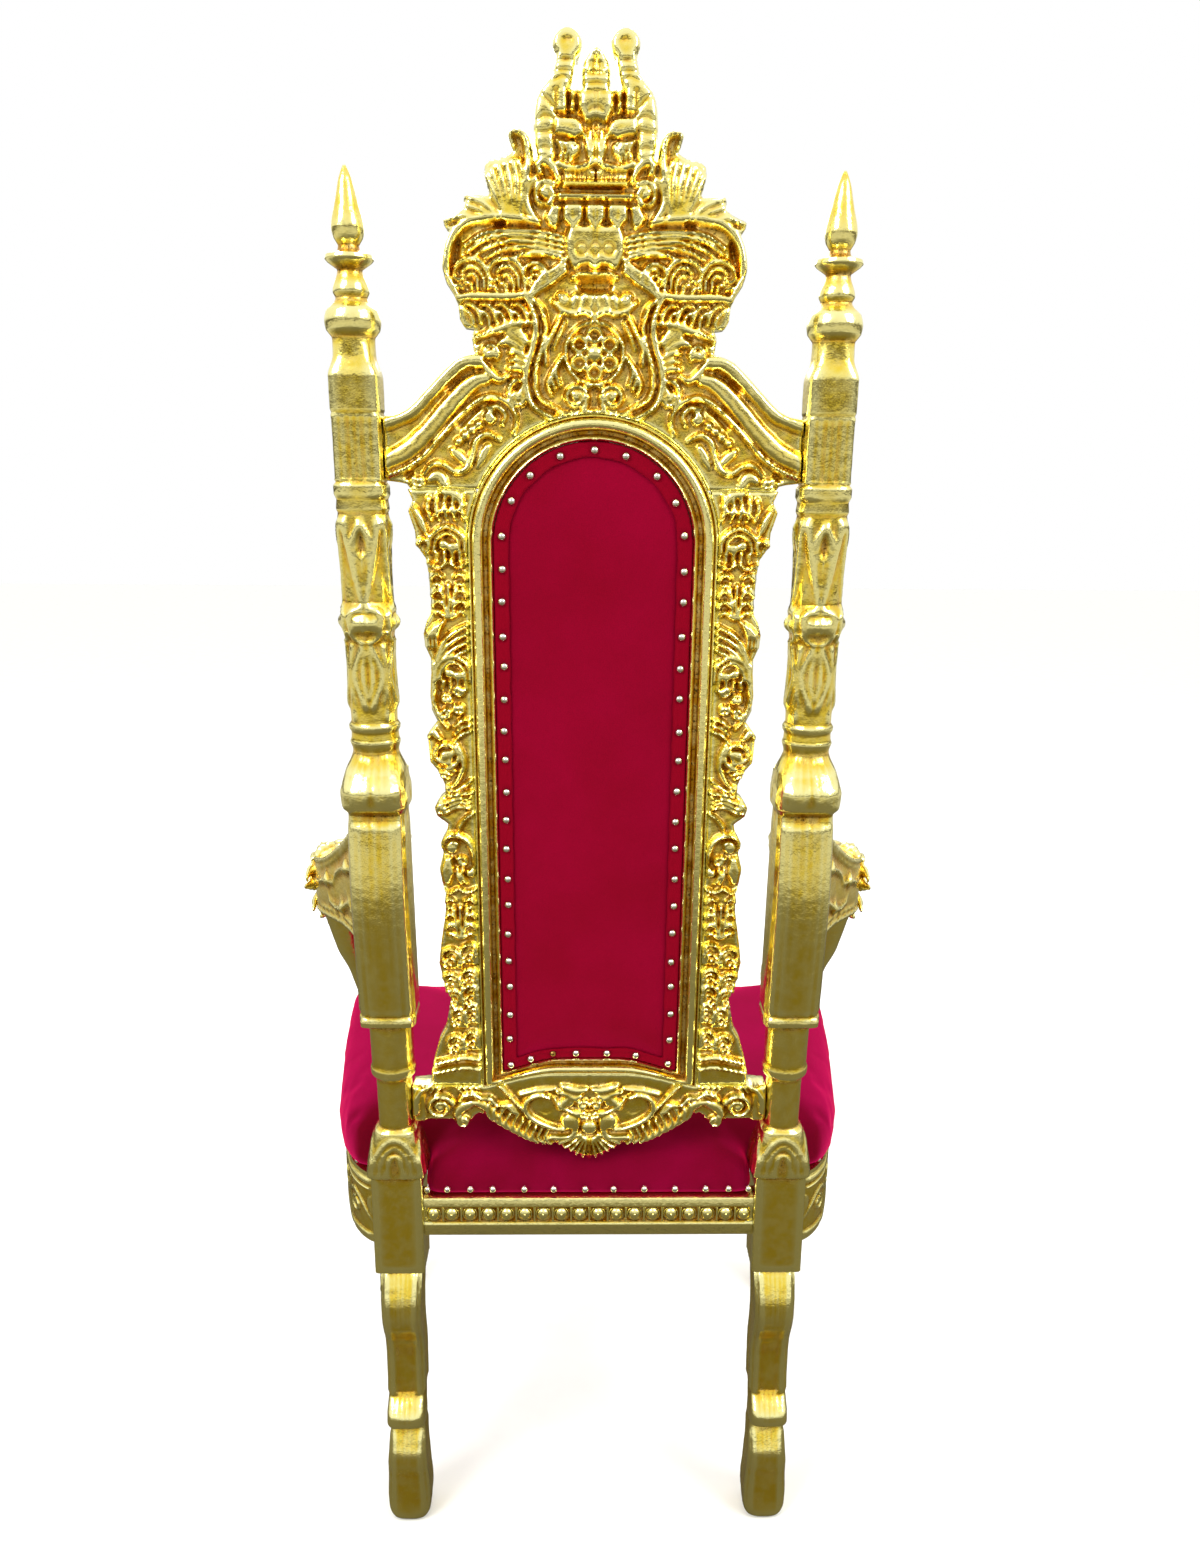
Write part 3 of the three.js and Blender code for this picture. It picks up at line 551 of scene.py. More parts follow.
def carve_crown(c):
    """The crown: two horns that end in discs, a spike between them, its block, cornice and collar."""
    c.strand([(28, 1814), (30.5, 1800), (34, 1788), (43, 1773), (50, 1755), (50.5, 1738), (49, 1722)],
             (19, 19, 21, 27, 20, 19, 16), 8.5, soft=0.3, edge=True)
    for line in (((23, 1803), (29, 1804), (37, 1803)), ((25, 1794), (33, 1795), (42, 1794)),
                 ((26, 1787), (32, 1790), (43, 1786)), ((41, 1763), (48, 1770), (55, 1776)),
                 ((41, 1754), (49, 1756), (58, 1752)), ((41, 1744), (49, 1742), (59, 1741)),
                 ((44, 1727), (49, 1729), (55, 1727))):
        c.groove(line, 2.6, 4.5)
    c.boss((28, 1819), 14, 3, edge=True)
    c.area(circle((28, 1819), 14, 20), 6.0, 2.5)
    c.groove([(24, 1819.5), (27.5, 1821.5), (31.5, 1819.5)], 3.6, 4.5)
    c.groove([(16, 1809), (28, 1803.5), (40, 1808)], 2.4, 3)
    spike = [(-14, 1817.5), (0, 1817.5), (6, 1813.5), (11, 1805), (13.5, 1797), (13.5, 1776), (-14, 1776)]
    c.inside = np.maximum(c.inside, inside_of(np.array(spike), c.x, c.z))
    c.area(spike, 6.5, 3)
    for x in (2.7, 8):
        c.groove([(x, 1794), (x * 0.8, 1804), (x * 0.45, 1812)], (3.2, 3, 1), 5.0)
    c.groove([(-2, 1792.5), (14, 1792)], 2.2, 4)
    c.groove([(-2, 1784.5), (14, 1784)], 2.2, 4)
    c.area([(-14, 1781), (18, 1780), (18, 1764), (11, 1751), (0, 1753), (-14, 1753)], 8.5, 8)
    c.groove([(0, 1763.5), (4, 1763), (7, 1760)], (4, 3), 4.0)
    for x, top, foot in ((19.7, 1780, 1762), (27, 1781, 1759), (39, 1779, 1759)):
        c.groove([(x, top), (x, foot)], 2.4, 5)
    c.block((21, 1762), (25.6, 1770), 8, 1.5)
    c.block((21, 1772), (25.6, 1780), 8, 1.5)
    c.block((28.4, 1759), (37.8, 1781), 8.5, 2)
    # the cap's smooth patches, its ribbed middle leaf and the curls under it
    c.area([(12, 1750.5), (20, 1755.5), (40, 1757), (41, 1741), (30, 1740), (20, 1737), (12, 1741)], 9, 3)
    c.groove([(11, 1751), (19, 1758), (40, 1759.5)], 2.4, 5)
    for dx in (0, 5, 9.5):
        c.strand([(dx * 0.55, 1716), (dx * 0.95, 1734), (dx * 1.1, 1750 - dx * 0.9)], (3.2, 4.4, 2.4), 8.5,
                 soft=0.7)
    c.volute((23, 1728), 8.5, 0.1, 1.2, 4, 8)
    for k in range(3):
        c.strand([(38 - 4.6 * k, 1737 - k), (33 - 4.8 * k, 1728), (36 - 5 * k, 1715)], (2.6, 4, 2.6), 8,
                 soft=0.7)
    c.strand([(-14, 1717), (0, 1717), (8, 1714.5), (20, 1711.8), (32, 1712.5), (37, 1716)], 6, 9.5)
    c.hollow([(-14, 1710.5), (35, 1710.5), (33, 1700), (-14, 1700)], 4, 2)
    for x in np.arange(2.3, 32, 4.6):
        c.strand([(x, 1710), (x - 0.4, 1702.5)], 2.5, 5)
    # two flat bars with dark lines between, and the scrolls that hold their ends
    c.block((-9, 1695.5), (33, 1700.8), 9.5, 1.5)
    c.block((-9, 1683), (38, 1690.5), 10, 2)
    c.groove([(-9, 1693), (29, 1693)], 3.2, 5)
    c.groove([(-9, 1681.4), (38, 1681.4)], 2.6, 5)
    c.strand([(36, 1701), (41, 1711), (49, 1717.5), (56, 1715), (55, 1708)], (5, 9, 9, 6), 9.5, grooves=1)
    c.volute((49, 1688), 15.5, 0.36, -1.35, 6.5, 9.5)
    c.strand([(60, 1702), (68, 1692), (68, 1677), (57, 1663)], (7, 10, 10, 6), 7, soft=0.35)
    # scallops that hang over the chest, and the chest with its incised rings
    for tongue in ([(-14, 1680.5), (10, 1680.5), (10, 1666), (5, 1661), (0, 1654), (-14, 1654)],
                   [(12, 1680.5), (32, 1680.5), (33, 1666), (27, 1661), (22, 1655.5), (17, 1661), (12, 1666)],
                   [(34, 1680), (44, 1679), (51, 1668), (46, 1660), (40, 1656.5), (36, 1662)]):
        c.area(tongue, 9, 3)
    for x in (4, 17.5, 22, 26.5, 39):
        c.groove([(x, 1677), (x, 1667)], 1.8, 2.6)
    c.area([(-14, 1662), (26, 1662), (31, 1650), (31, 1636), (25, 1623), (20, 1618), (14, 1623), (7, 1624.5),
            (0, 1618.5), (-14, 1618.5)], 7.5, 6)
    for x in (0, 13.5):
        c.groove(circle((x, 1639), 5.4, 16), 2.2, 4)
        c.groove([(x - 2, 1637), (x + 2, 1638)], 2.4, 2.5)
    c.strand([(-14, 1615.5), (14, 1616.5), (22, 1613)], 5, 8.5)
    c.hollow([(-14, 1613), (17, 1613), (20, 1606), (15, 1599), (-14, 1599)], 7, 4)


def carve_wing(c):
    """The wing: its rim, the long feathers inside it and the plumes that stand over it."""
    c.area([(68, 1664), (66, 1700), (73, 1722), (100, 1718), (109, 1708), (104, 1688), (128, 1684),
            (140, 1668), (150, 1662), (120, 1660)], 4, 4)
    for k in range(6):
        c.strand([(76 + 2.4 * k, 1662), (72.5 + 5.2 * k, 1684), (71 + 7.2 * k, 1701),
                  (75 + 7.0 * k, 1718 - 0.5 * k * k)], (4, 6, 6.5, 3), 9, soft=0.7)
    c.strand([(68, 1698), (66, 1722), (68.5, 1738), (77, 1743), (84, 1740), (80, 1731)],
             (7, 8, 8, 7, 6, 4), 10)
    c.groove([(73, 1722), (75, 1737)], (2, 3.4), 4)
    for base, middle, tip in (((96, 1665), (112, 1672), (131, 1678)),
                              ((95, 1666), (111, 1679), (130, 1686)),
                              ((108, 1662), (128, 1668), (150, 1663)),
                              ((104, 1662), (124, 1662), (146, 1657))):
        c.strand([base, middle, tip], (5, 8, 2), 8.5, soft=0.6)
    c.strand([(60, 1663), (90, 1667.5), (118, 1665), (134, 1658), (145, 1646), (149.5, 1630), (149, 1614),
              (141, 1598)], (5, 7, 8, 9, 10, 10, 9, 7), 9.5, soft=0.35)
    c.groove([(36, 1653), (60, 1660), (90, 1661.5), (118, 1659), (133, 1650), (141, 1633), (145, 1614)],
             (3, 5, 6, 8, 10, 9, 5), 7.5)
    feathers = [
        [(33, 1650.5), (56, 1654.5), (86, 1655.5), (112, 1652), (131, 1641)],
        [(33, 1645.5), (56, 1649.5), (88, 1650.5), (113, 1646), (129, 1635)],
        [(33, 1640.5), (56, 1644.5), (86, 1645.3), (108, 1640.5), (122, 1631)],
        [(33, 1635.5), (54, 1639.5), (80, 1640.2), (98, 1636), (110, 1630)],
        [(33, 1630.8), (50, 1634.5), (68, 1634.8), (82, 1631)],
    ]
    for line in feathers:
        c.strand(line, (4, 4.9, 5, 5, 3), 8, soft=0.85)
    for drop in (0, 5.2, 10.4):
        c.strand([(29, 1630 - drop), (42, 1620 - drop), (56, 1611.5 - drop), (68, 1597 - drop * 0.6)],
                 (4, 5.2, 5, 3), 7.5, soft=0.8)


def carve_curls(c):
    """Two tiers of breaking curls under the wing, with a smooth band between them."""
    breaking_wave(c, (48, 1604), 24, 22, 7.5)
    breaking_wave(c, (71, 1600), 37, 30, 8.5)
    breaking_wave(c, (107, 1601), 36, 28, 8.5)
    c.strand([(62, 1597), (90, 1594.5), (120, 1595), (141, 1592.5)], (6, 8.5, 9, 7), 8, soft=0.35)
    for x in (68, 84, 100, 116):
        c.strand([(x, 1567 + 0.02 * x), (x + 2, 1580), (x + 9, 1587), (x + 16, 1586.5)], (3, 6, 5, 2), 9)
        c.strand([(x + 7, 1566), (x + 9, 1576), (x + 15, 1582)], (3, 4.5, 2), 8, soft=0.7)
    c.groove([(66, 1589.5), (100, 1589), (138, 1587)], 2.4, 4)
    c.strand([(66, 1570), (84, 1568), (104, 1561), (124, 1553)], (4, 9, 10, 5), 8.5, grooves=1)
    c.groove([(96, 1558), (110, 1556), (124, 1550)], (3, 4.5, 3), 6)
    # the spray of leaves over the flower
    c.area([(-14, 1600), (22, 1598), (40, 1592), (34, 1580), (22, 1577), (14, 1580), (0, 1573),
            (-14, 1573)], 5, 5)
    for a, b in (((0, 1596), (10, 1586)), ((10, 1598), (20, 1587)), ((20, 1597), (29, 1586))):
        c.strand([a, ((a[0] + b[0]) / 2 - 4, (a[1] + b[1]) / 2), (b[0] - 6, b[1] - 5)], (4, 6, 3), 8,
                 soft=0.7)
    c.strand([(0, 1575), (10, 1581), (22, 1578.5), (34, 1582), (42, 1590)], (4, 5, 5, 5, 4), 9)
    c.volute((33, 1592), 7.5, 0.1, 1.1, 4, 9)


def carve_flower(c, centre=(0, 1541), radius=32):
    """A flower in a ring: six dished petals with dark gaps between them, and a ball in the middle."""
    where = c.window(np.array([centre]), radius + 1)
    away = np.hypot(c.x[where] - centre[0], c.z[where] - centre[1])
    c.height[where] = np.where(away < radius - 1, np.minimum(c.height[where], -1.5), c.height[where])
    for k in range(6):
        turn = (k + 0.5) / 6 * TAU
        petal = (centre[0] + 18 * math.cos(turn), centre[1] + 18 * math.sin(turn))
        c.area(circle(petal, 8.6, 14), 4, 2)
        c.strand(circle(petal, 7, 14), 4.2, 9)
        c.groove([(petal[0] - 1, petal[1]), petal, (petal[0] + 1, petal[1])], 8, 4.5)
    c.strand(circle(centre, radius - 2, 24), 3.8, 8.5)
    c.boss(centre, 9.5, 11)


def carve_lyre(c):
    """The big scrolls that stand round the flower, and the smaller ones inside them."""
    for inset, width in ((0, 8.5), (9.5, 6)):
        line = [(73 - inset * 0.8, 1598 - inset * 0.5), (64 - inset, 1584), (60 - inset, 1566),
                (63 - inset, 1548), (69 - inset, 1530), (71 - inset, 1510),
                (64 - inset * 0.9, 1490 + inset * 0.6), (46 - inset * 0.4, 1479 + inset)]
        c.strand(line, (4, width, width, width, 4), 9.5 - inset * 0.1, soft=0.7)
    c.strand([(52, 1481), (38, 1475.5), (22, 1476), (8, 1484)], (6, 8, 8, 5), 9.5, grooves=1)
    c.strand([(42, 1489), (34, 1483), (26, 1482)], (3, 5, 3), 8, soft=0.7)
    c.volute((19, 1498), 15, 0.58, -1.5, 5.5, 9)
    for k in range(3):
        c.strand([(33 + 5 * k, 1538 - 6 * k), (40 + 4 * k, 1524 - 7 * k), (36 + 4 * k, 1510 - 5 * k)],
                 (3, 5.5, 3), 8, soft=0.7)
    c.strand([(34, 1580), (42, 1562), (50, 1546), (50, 1530)], (3, 5, 5, 3), 8, soft=0.7)
    c.strand([(30, 1572), (37, 1558), (42, 1546)], (3, 4.5, 3), 7.5, soft=0.7)
    c.pebbles((38, 1502), 7)
    for dx, dz in ((10, 1488), (16, 1516), (6, 1510)):
        c.boss((dx, dz), 4, 7)
    c.boss((0, 1480), 7, 9)


def carve_side_leaves(c):
    """Small leaves between the lyre and the shoulder."""
    c.leaf([(72, 1552), (82, 1560), (92, 1570)], 18, 7, veins=2)
    c.leaf([(74, 1545), (88, 1552), (100, 1549)], 12, 7, veins=1)
    c.volute((107, 1541), 11, 0.6, -1.2, 5, 9, grooves=1)
    for z0, z1 in ((1536, 1541), (1530, 1533), (1524, 1526)):
        c.leaf([(69, z0), (80, z1 + 1), (91, z1)], 7.5, 7.5, veins=1)
    c.strand([(88, 1520), (98, 1515), (108, 1522), (116, 1532)], (4, 8, 9, 5), 8, grooves=2)
    c.strand([(70, 1514), (82, 1514), (89, 1504), (87, 1492)], (4, 6, 6, 4), 7.5, grooves=1)
    c.volute((78, 1496), 10, 0.15, -1.2, 5, 8, grooves=1)
    c.leaf([(72, 1512), (76, 1503), (84, 1498)], 8, 7, veins=1)


def carve_shoulder(c):
    """The shoulder's double sweep of mouldings down to the post, and the small cartouche below it."""
    c.strand([(120, 1533), (135, 1532), (150, 1521), (170, 1501), (190, 1482), (225, 1468)], 14, 7.5,
             soft=0.3)
    c.groove([(117, 1529), (135, 1527), (150, 1517), (170, 1497.5), (190, 1477), (225, 1463)], 2.2, 2.5)
    c.strand([(112, 1516), (124, 1513), (142, 1499), (158, 1482), (176, 1462), (196, 1444), (225, 1430)],
             (12, 17, 19, 20, 20, 20, 18), 7.0, soft=0.45)
    c.groove([(117, 1524), (132, 1520), (148, 1508), (168, 1489), (190, 1468), (225, 1456)], (5, 9, 11, 12),
             6)
    c.strand([(84, 1462), (81, 1478), (88, 1490), (100, 1497), (117, 1496), (138, 1481), (160, 1459),
              (180, 1438), (200, 1425), (225, 1416)], (4, 5, 6, 6, 6, 6, 6, 6, 6, 5), 8, soft=0.6, grooves=1)
    c.groove([(93, 1482), (103, 1490), (117, 1489), (134, 1476), (156, 1453), (176, 1432), (200, 1416)],
             (3, 5, 6, 7, 8, 8, 6), 5)
    c.strand([(97, 1470), (93, 1480), (100, 1488), (112, 1487)], (3, 6, 4), 7)
    c.volute((108, 1477), 8, 0.3, -1.2, 4, 7.5)
    c.beads([(117, 1473), (132, 1462), (146, 1450)], 4, 4.6, 7.5)
    c.strand([(99, 1455), (112, 1461), (124, 1454), (128, 1440), (134, 1427), (146, 1422), (158, 1429),
              (170, 1430), (180, 1420)], (3, 6, 7, 7, 7, 7, 6, 6, 4), 8, grooves=1)
    c.leaf([(136, 1432), (144, 1440), (152, 1446)], 11, 7, veins=2)
    c.leaf([(112, 1448), (118, 1438), (124, 1426)], 10, 5, veins=2)
    c.leaf([(158, 1408), (166, 1418), (178, 1412)], 13, 6.5, veins=2)
    c.volute((186, 1412), 9, 0.1, -1.0, 4, 7)


def crest_field(pitch):
    """The whole crest rail as heights, drawn on one half."""
    steps = int(CREST_EDGE / pitch) + 1
    across = np.linspace(0, CREST_EDGE + pitch, steps + 2)
    up = np.arange(STILE_TOP + GAP - pitch, CREST_TOP + 3 * pitch, pitch)
    c = Carving(across, up)
    c.inside = inside_of(crest_outline(), c.x, c.z)
    middle = np.minimum(CREST_BLOCK_TOP - c.z, c.z - STILE_TOP_DRAWN)
    c.inside = np.where(c.x < 1, np.maximum(c.inside, middle), c.inside)
    for carve in (carve_shoulder, carve_side_leaves, carve_curls, carve_wing, carve_lyre, carve_crown):
        carve(c)
    c.pack(0.7 * np.clip((c.z - 1440) / 40, 0, 1) * np.clip((170 - c.x) / 30, 0, 1))
    carve_flower(c)
    c.inside = np.minimum(c.inside, panel_distance(c.x, c.z) - MOULDING - GAP)
    c.inside = np.minimum(c.inside, CREST_EDGE - c.x)
    c.inside = np.minimum(c.inside, CREST_TOP - c.z)
    c.tooled(0.35)
    c.height = np.minimum(c.height, DEEPEST_REAR - BOARD_REAR - (c.z - PIVOT_Z) * LEAN)
    c.soften(1)
    return c.both_halves()


def stile_outline():
    """A stile: straight against the panel's moulding, scalloped outside."""
    outer = [(199, 1404), (194, 1392), (199.5, 1381), (193, 1360), (192, 1345), (182, 1330), (180, 1315),
             (178, 1280), (179, 1270), (184, 1262), (188, 1248), (187, 1234), (181, 1220), (180, 1205),
             (182, 1180), (182, 1160), (176, 1147), (182, 1139), (188, 1131), (187, 1114), (186, 1098),
             (176, 1086), (170, 1070), (170, 1059), (177, 1053), (183, 1043), (181, 1032), (168, 1022),
             (170, 1012), (177, 1000), (175, 985), (180, 965), (177, 945), (174, 938), (175, 905), (178, 890),
             (182, 865), (185, 840), (182, 825), (178, 805), (172, 792), (175, 775), (180, 750), (188, 735),
             (195, 710), (199, 690), (200, 668)]
    return np.array(outer + [(100, 668), (100, 1404)], float)


def carve_stile(c):
    """Climbing leaves and scrolls, from the crest rail down to the lower rail."""
    # drape and curl at the top, then a shell under a double arch
    for k, x in enumerate((140, 149, 158, 167, 176)):
        c.strand([(x, 1400 - k), (x + 2, 1386), (x - 1, 1372)], (3, 6, 2.5), 7.5, soft=0.7)
    c.strand([(138, 1388), (148, 1381), (160, 1383), (172, 1376)], (3, 5, 5, 3), 9)
    for k in range(3):
        c.strand([(178 + 3 * k, 1352 + 5 * k), (183 + 3 * k, 1372 + 2 * k), (193, 1387 - k)], (3, 4.5, 3),
                 8.5, soft=0.7)
    c.leaf([(142, 1392), (150, 1400), (166, 1402)], 12, 7, veins=1)
    for x, z, end in ((158, 1345, (191, 1346)), (156, 1203, (181, 1176))):
        for radius, width, rise in ((20, 5.5, 9.5), (13.5, 4.5, 8)):
            c.strand([(x - radius, z - 8), (x - radius * 0.85, z + radius * 0.5), (x, z + radius),
                      (x + radius * 0.85, z + radius * 0.5), (x + radius + 1, z - 6)], width, rise)
        c.strand([(x + 19, z + 3), ((x + 20 + end[0]) / 2, end[1] + 5), end], (4, 5, 6), 9)
        c.boss((x - 6, z - 2), (7, 6), 8)
        c.boss((x + 4, z + 1), (6, 6), 8)
        for k in range(4):
            c.strand([(x - 13 + 8 * k, z - 8), (x - 14 + 9 * k, z - 18)], (5, 3), 7)
    c.strand([(138, 1326), (148, 1322), (158, 1327), (168, 1321), (181, 1326)], 4, 9.5)
    palmette(c, 158, 1318, 1264, 40)
    # strands that swing out to the edge
    for k, (z0, z1) in enumerate(((1258, 1222), (1249, 1214), (1240, 1206), (1231, 1198))):
        c.strand([(139, z0), (152, z0 - 7), (166, z0 - 20), (177, z1 - 8)], (5, 6.5, 6, 3), 8.5 - k * 0.5,
                 soft=0.8)
    for k in range(3):
        c.strand([(164 + 5 * k, 1264 - 3 * k), (172 + 5 * k, 1250 - 2 * k), (174 + 4 * k, 1232)],
                 (3, 5, 2.5), 8, soft=0.7)
    c.strand([(178, 1214), (181, 1196), (180, 1176), (174, 1156), (164, 1140)], (5, 7, 7, 6, 4), 9.5,
             grooves=1)
    for x, z, turn in ((149, 1183, 0.2), (165, 1174, 0.6), (150, 1163, 0.1), (165, 1156, 0.4)):
        c.volute((x, z), 8.5, turn, -1.1, 4, 8.5)
    for k in range(3):
        c.strand([(138, 1150 - 7 * k), (148, 1149 - 8 * k), (157, 1141 - 9 * k)], (3, 6, 3), 8, soft=0.7)
    # the ring scroll and its leaves
    c.volute((168, 1108), 20, 0.72, -1.35, 6.5, 9.5, grooves=1)
    c.strand([(154, 1122), (148, 1106), (149, 1090), (157, 1074), (168, 1067)], (4, 6, 7, 6, 4), 9.5,
             grooves=1)
    for k in range(3):
        c.strand([(157 + 4 * k, 1088 - 4 * k), (164 + 4 * k, 1092 - 5 * k), (176 + k, 1092 - 6 * k)],
                 (3, 5, 2), 8, soft=0.7)
    c.leaf([(174, 1128), (184, 1137), (187, 1126)], 10, 8, veins=1)
    for x, z in ((161, 1110), (170, 1104), (164, 1099)):
        c.boss((x, z), 4.6, 8.5)
    c.strand([(139, 1078), (146, 1072), (156, 1066), (166, 1064)], (3, 6, 5, 3), 8.5)
    c.strand([(137, 1063), (152, 1061), (166, 1058)], (4, 6, 4), 9)
    for k in range(3):
        c.strand([(142, 1055 - 6 * k), (156, 1055 - 5 * k), (170, 1049 - 6 * k)], (3, 6, 3), 8.5, soft=0.7)
    c.volute((174, 1042), 9.5, 0.3, -1.2, 4.5, 9)
    for k in range(3):
        c.strand([(138 + 5 * k, 1036 - 3 * k), (148 + 3 * k, 1030 - 4 * k), (156, 1014 - 2 * k)],
                 (3, 5, 2.5), 7.5, soft=0.7)
    # second C-scroll with curls inside
    c.strand([(138, 970), (139, 988), (146, 1003), (160, 1010), (172, 1005), (177, 993)],
             (5, 6, 7, 7, 6, 4), 9.5, grooves=1)
    c.volute((163, 994), 10, 0.4, -1.2, 4.5, 8.5)
    c.boss((164, 995), 5, 9)
    c.volute((153, 976), 9, 0.1, 1.1, 4.5, 8.5)
    c.volute((143, 962), 7, 0.3, 1.2, 4, 8.5)
    c.area([(164, 984), (174, 983), (180, 966), (177, 948), (168, 946), (161, 962)], 8, 6)
    for k in range(2):
        c.strand([(148 + 6 * k, 948), (153 + 5 * k, 958), (152 + 6 * k, 968)], (3, 6, 3), 8, soft=0.7)
    c.strand([(137, 941), (148, 937), (158, 941), (168, 936), (177, 940)], 4, 9.5)
    palmette(c, 157, 932, 874, 38)
    # husks one under the other, growing towards the rail
    for z, right in ((868, 181), (834, 183), (812, 180), (786, 172), (748, 178)):
        middle = (right + 134) / 2
        for a, b, top in ((136, middle, z), (middle, right, z - 6)):
            breaking_wave(c, (a, top - 27), b - a, 27, 7.5)
    c.strand([(134, 708), (160, 711), (197, 702)], 6.5, 9.5, soft=0.4)
    c.strand([(134, 694), (160, 697), (199, 689)], 6.5, 9.5, soft=0.4)


def palmette(c, x, top, foot, width):
    """An upright leaf with a fan of central ribs and curled lobes on both sides."""
    half = width / 2
    for dx in (-6, 0, 6):
        c.strand([(x + dx * 0.5, foot + 2), (x + dx, (top + foot) / 2), (x + dx * 1.5, top - 14)],
                 (3, 4.8, 3), 8, soft=0.7)
    for s in (-1, 1):
        for z in (top - 4, (top + foot) / 2 + 5, foot + 20):
            c.strand([(x + s * half * 0.3, z - 16), (x + s * half * 0.62, z - 10),
                      (x + s * half * 0.8, z - 14)], (3, 5, 2.5), 7.5, soft=0.7)
            c.strand([(x + s * half * 0.3, z - 3), (x + s * half * 0.7, z + 1), (x + s * half, z - 6)],
                     (2.5, 5.5, 3.5), 9.5)


def stile_field(pitch):
    """One stile as heights."""
    across = np.arange(*STILE_SPAN, pitch)
    up = np.arange(STILE_FOOT - pitch, STILE_TOP + 2 * pitch, pitch)
    c = Carving(across, up)
    c.inside = inside_of(stile_outline(), c.x, c.z)
    carve_stile(c)
    c.pack(0.8)
    c.inside = np.minimum(c.inside, panel_distance(c.x, c.z) - MOULDING - GAP)
    c.inside = np.minimum(c.inside, np.minimum(STILE_TOP - c.z, c.z - STILE_FOOT))
    c.tooled(0.3, 5)
    c.soften(1)
    return c


def lower_rail_outline():
    """Half of the lower rail, from under the panel round its scalloped foot to the post."""
    foot = [(0, 562), (10, 563), (18, 567), (30, 576), (40, 581), (65, 583.5), (85, 590), (105, 603),
            (125, 618), (134, 624), (141, 626), (147, 622), (152, 612), (158, 608), (165, 607.5),
            (171, 610), (176, 617), (205, 617.5), (212, 614), (240, 613)]
    return np.array(foot + [(240, STILE_FOOT - GAP), (127, STILE_FOOT - GAP), (127, 692), (0, 692)], float)


def carve_lower_rail(c):
    """Shell, balls and mask-like curls in the middle, C-scrolls, ribbed leaves and the outer volutes."""
    for k in range(6):
        turn = (0.75 + 0.036 * k) * TAU
        c.strand([(12 * math.cos(turn), 603 + 12 * math.sin(turn)),
                  (27 * math.cos(turn), 603 + 27 * math.sin(turn)),
                  (43 * math.cos(turn), 603 + 43 * math.sin(turn))], (2.5, 4.6, 7.5), 9, soft=0.8)
    c.boss((0, 608), 11, 10)
    c.boss((24, 617), 12.5, 9.5)
    for x, z, reach in ((8, 640, 10), (24, 646, 11)):
        c.volute((x, z), reach, 0.5, -1.0, 4.5, 8)
    c.strand([(0, 627), (10, 630), (22, 631), (38, 640), (44, 650)], (4, 6, 7, 5), 8.5, grooves=1)
    c.leaf([(38, 636), (28, 648), (8, 655)], 12, 8.5, veins=2)
    c.leaf([(34, 668), (18, 662), (0, 664)], 12, 7.5, veins=1)
    c.leaf([(40, 660), (26, 656), (14, 650)], 9, 8, veins=1)
    c.strand([(2, 622), (12, 625), (20, 630)], (5, 4), 8)
    # the C-scroll with rings round the ball
    c.strand([(50, 652), (62, 656), (76, 651), (82, 640), (78, 626), (62, 614), (44, 607), (32, 606)],
             (5, 7, 8, 9, 9, 8, 6), 9.5, grooves=2)
    c.pebbles((56, 637), 13, 5, 2.0)
    for r in (16, 22):
        c.strand([(30 - r * 0.75, 612), (30 - r * 0.4, 606 - r * 0.6), (36, 606 - r * 0.75),
                  (48 + r * 0.2, 602 - r * 0.45)], (3, 5, 5, 3), 7.5)
    # ribbed leaf along the lower edge, with its lobed top
    for k in range(10):
        x = 48 + k * 8.2
        z = 582 + max(x - 66, 0) * 0.54
        c.strand([(x, z), (x + 9, z + 11 + k), (x + 4, z + 25 + k)], (4, 7, 4), 8.5, soft=0.8)
    c.strand([(96, 630), (106, 641), (118, 642), (126, 651), (138, 652), (148, 658), (160, 655), (166, 645)],
             (4, 6, 5, 7, 6, 7, 6, 3), 9)
    c.leaf([(120, 626), (134, 640), (152, 648)], 14, 8, veins=2)
    c.leaf([(150, 644), (164, 636), (172, 622)], 15, 8.5, veins=2)
    c.volute((161, 618), 11, 0.2, -1.3, 5, 9)
    # volutes beside the posts under their arcs
    c.volute((190, 639), 21, 0.45, -1.4, 7.5, 10.5)
    for k in range(3):
        c.strand([(203 + 5 * k, 672 - 3 * k), (216 + 4 * k, 656 - 5 * k), (219 + 4 * k, 630 - 3 * k)],
                 (4, 7, 5), 8.5, soft=0.7)
    for k, radius in enumerate((24, 31, 38, 45)):
        c.strand([(180 - radius * 0.85, 648 + radius * 0.35), (180 - radius * 0.4, 648 + radius * 0.88),
                  (180 + radius * 0.35, 648 + radius * 0.8), (180 + radius * 0.75, 648 + radius * 0.3)],
                 (2.5, 5, 5, 2), 8 - k * 0.5)
    c.block((208, 616), (240, 668), 3, 4)
    # the double strap from the panel's corner
    c.strand([(138, 694), (112, 668), (84, 633)], (7, 6, 4), 9, grooves=1, soft=0.4)
    c.leaf([(92, 628), (104, 640), (116, 632)], 12, 6.5, veins=2)
    c.strand([(44, 664), (64, 662), (88, 656)], (4, 8, 6), 4)


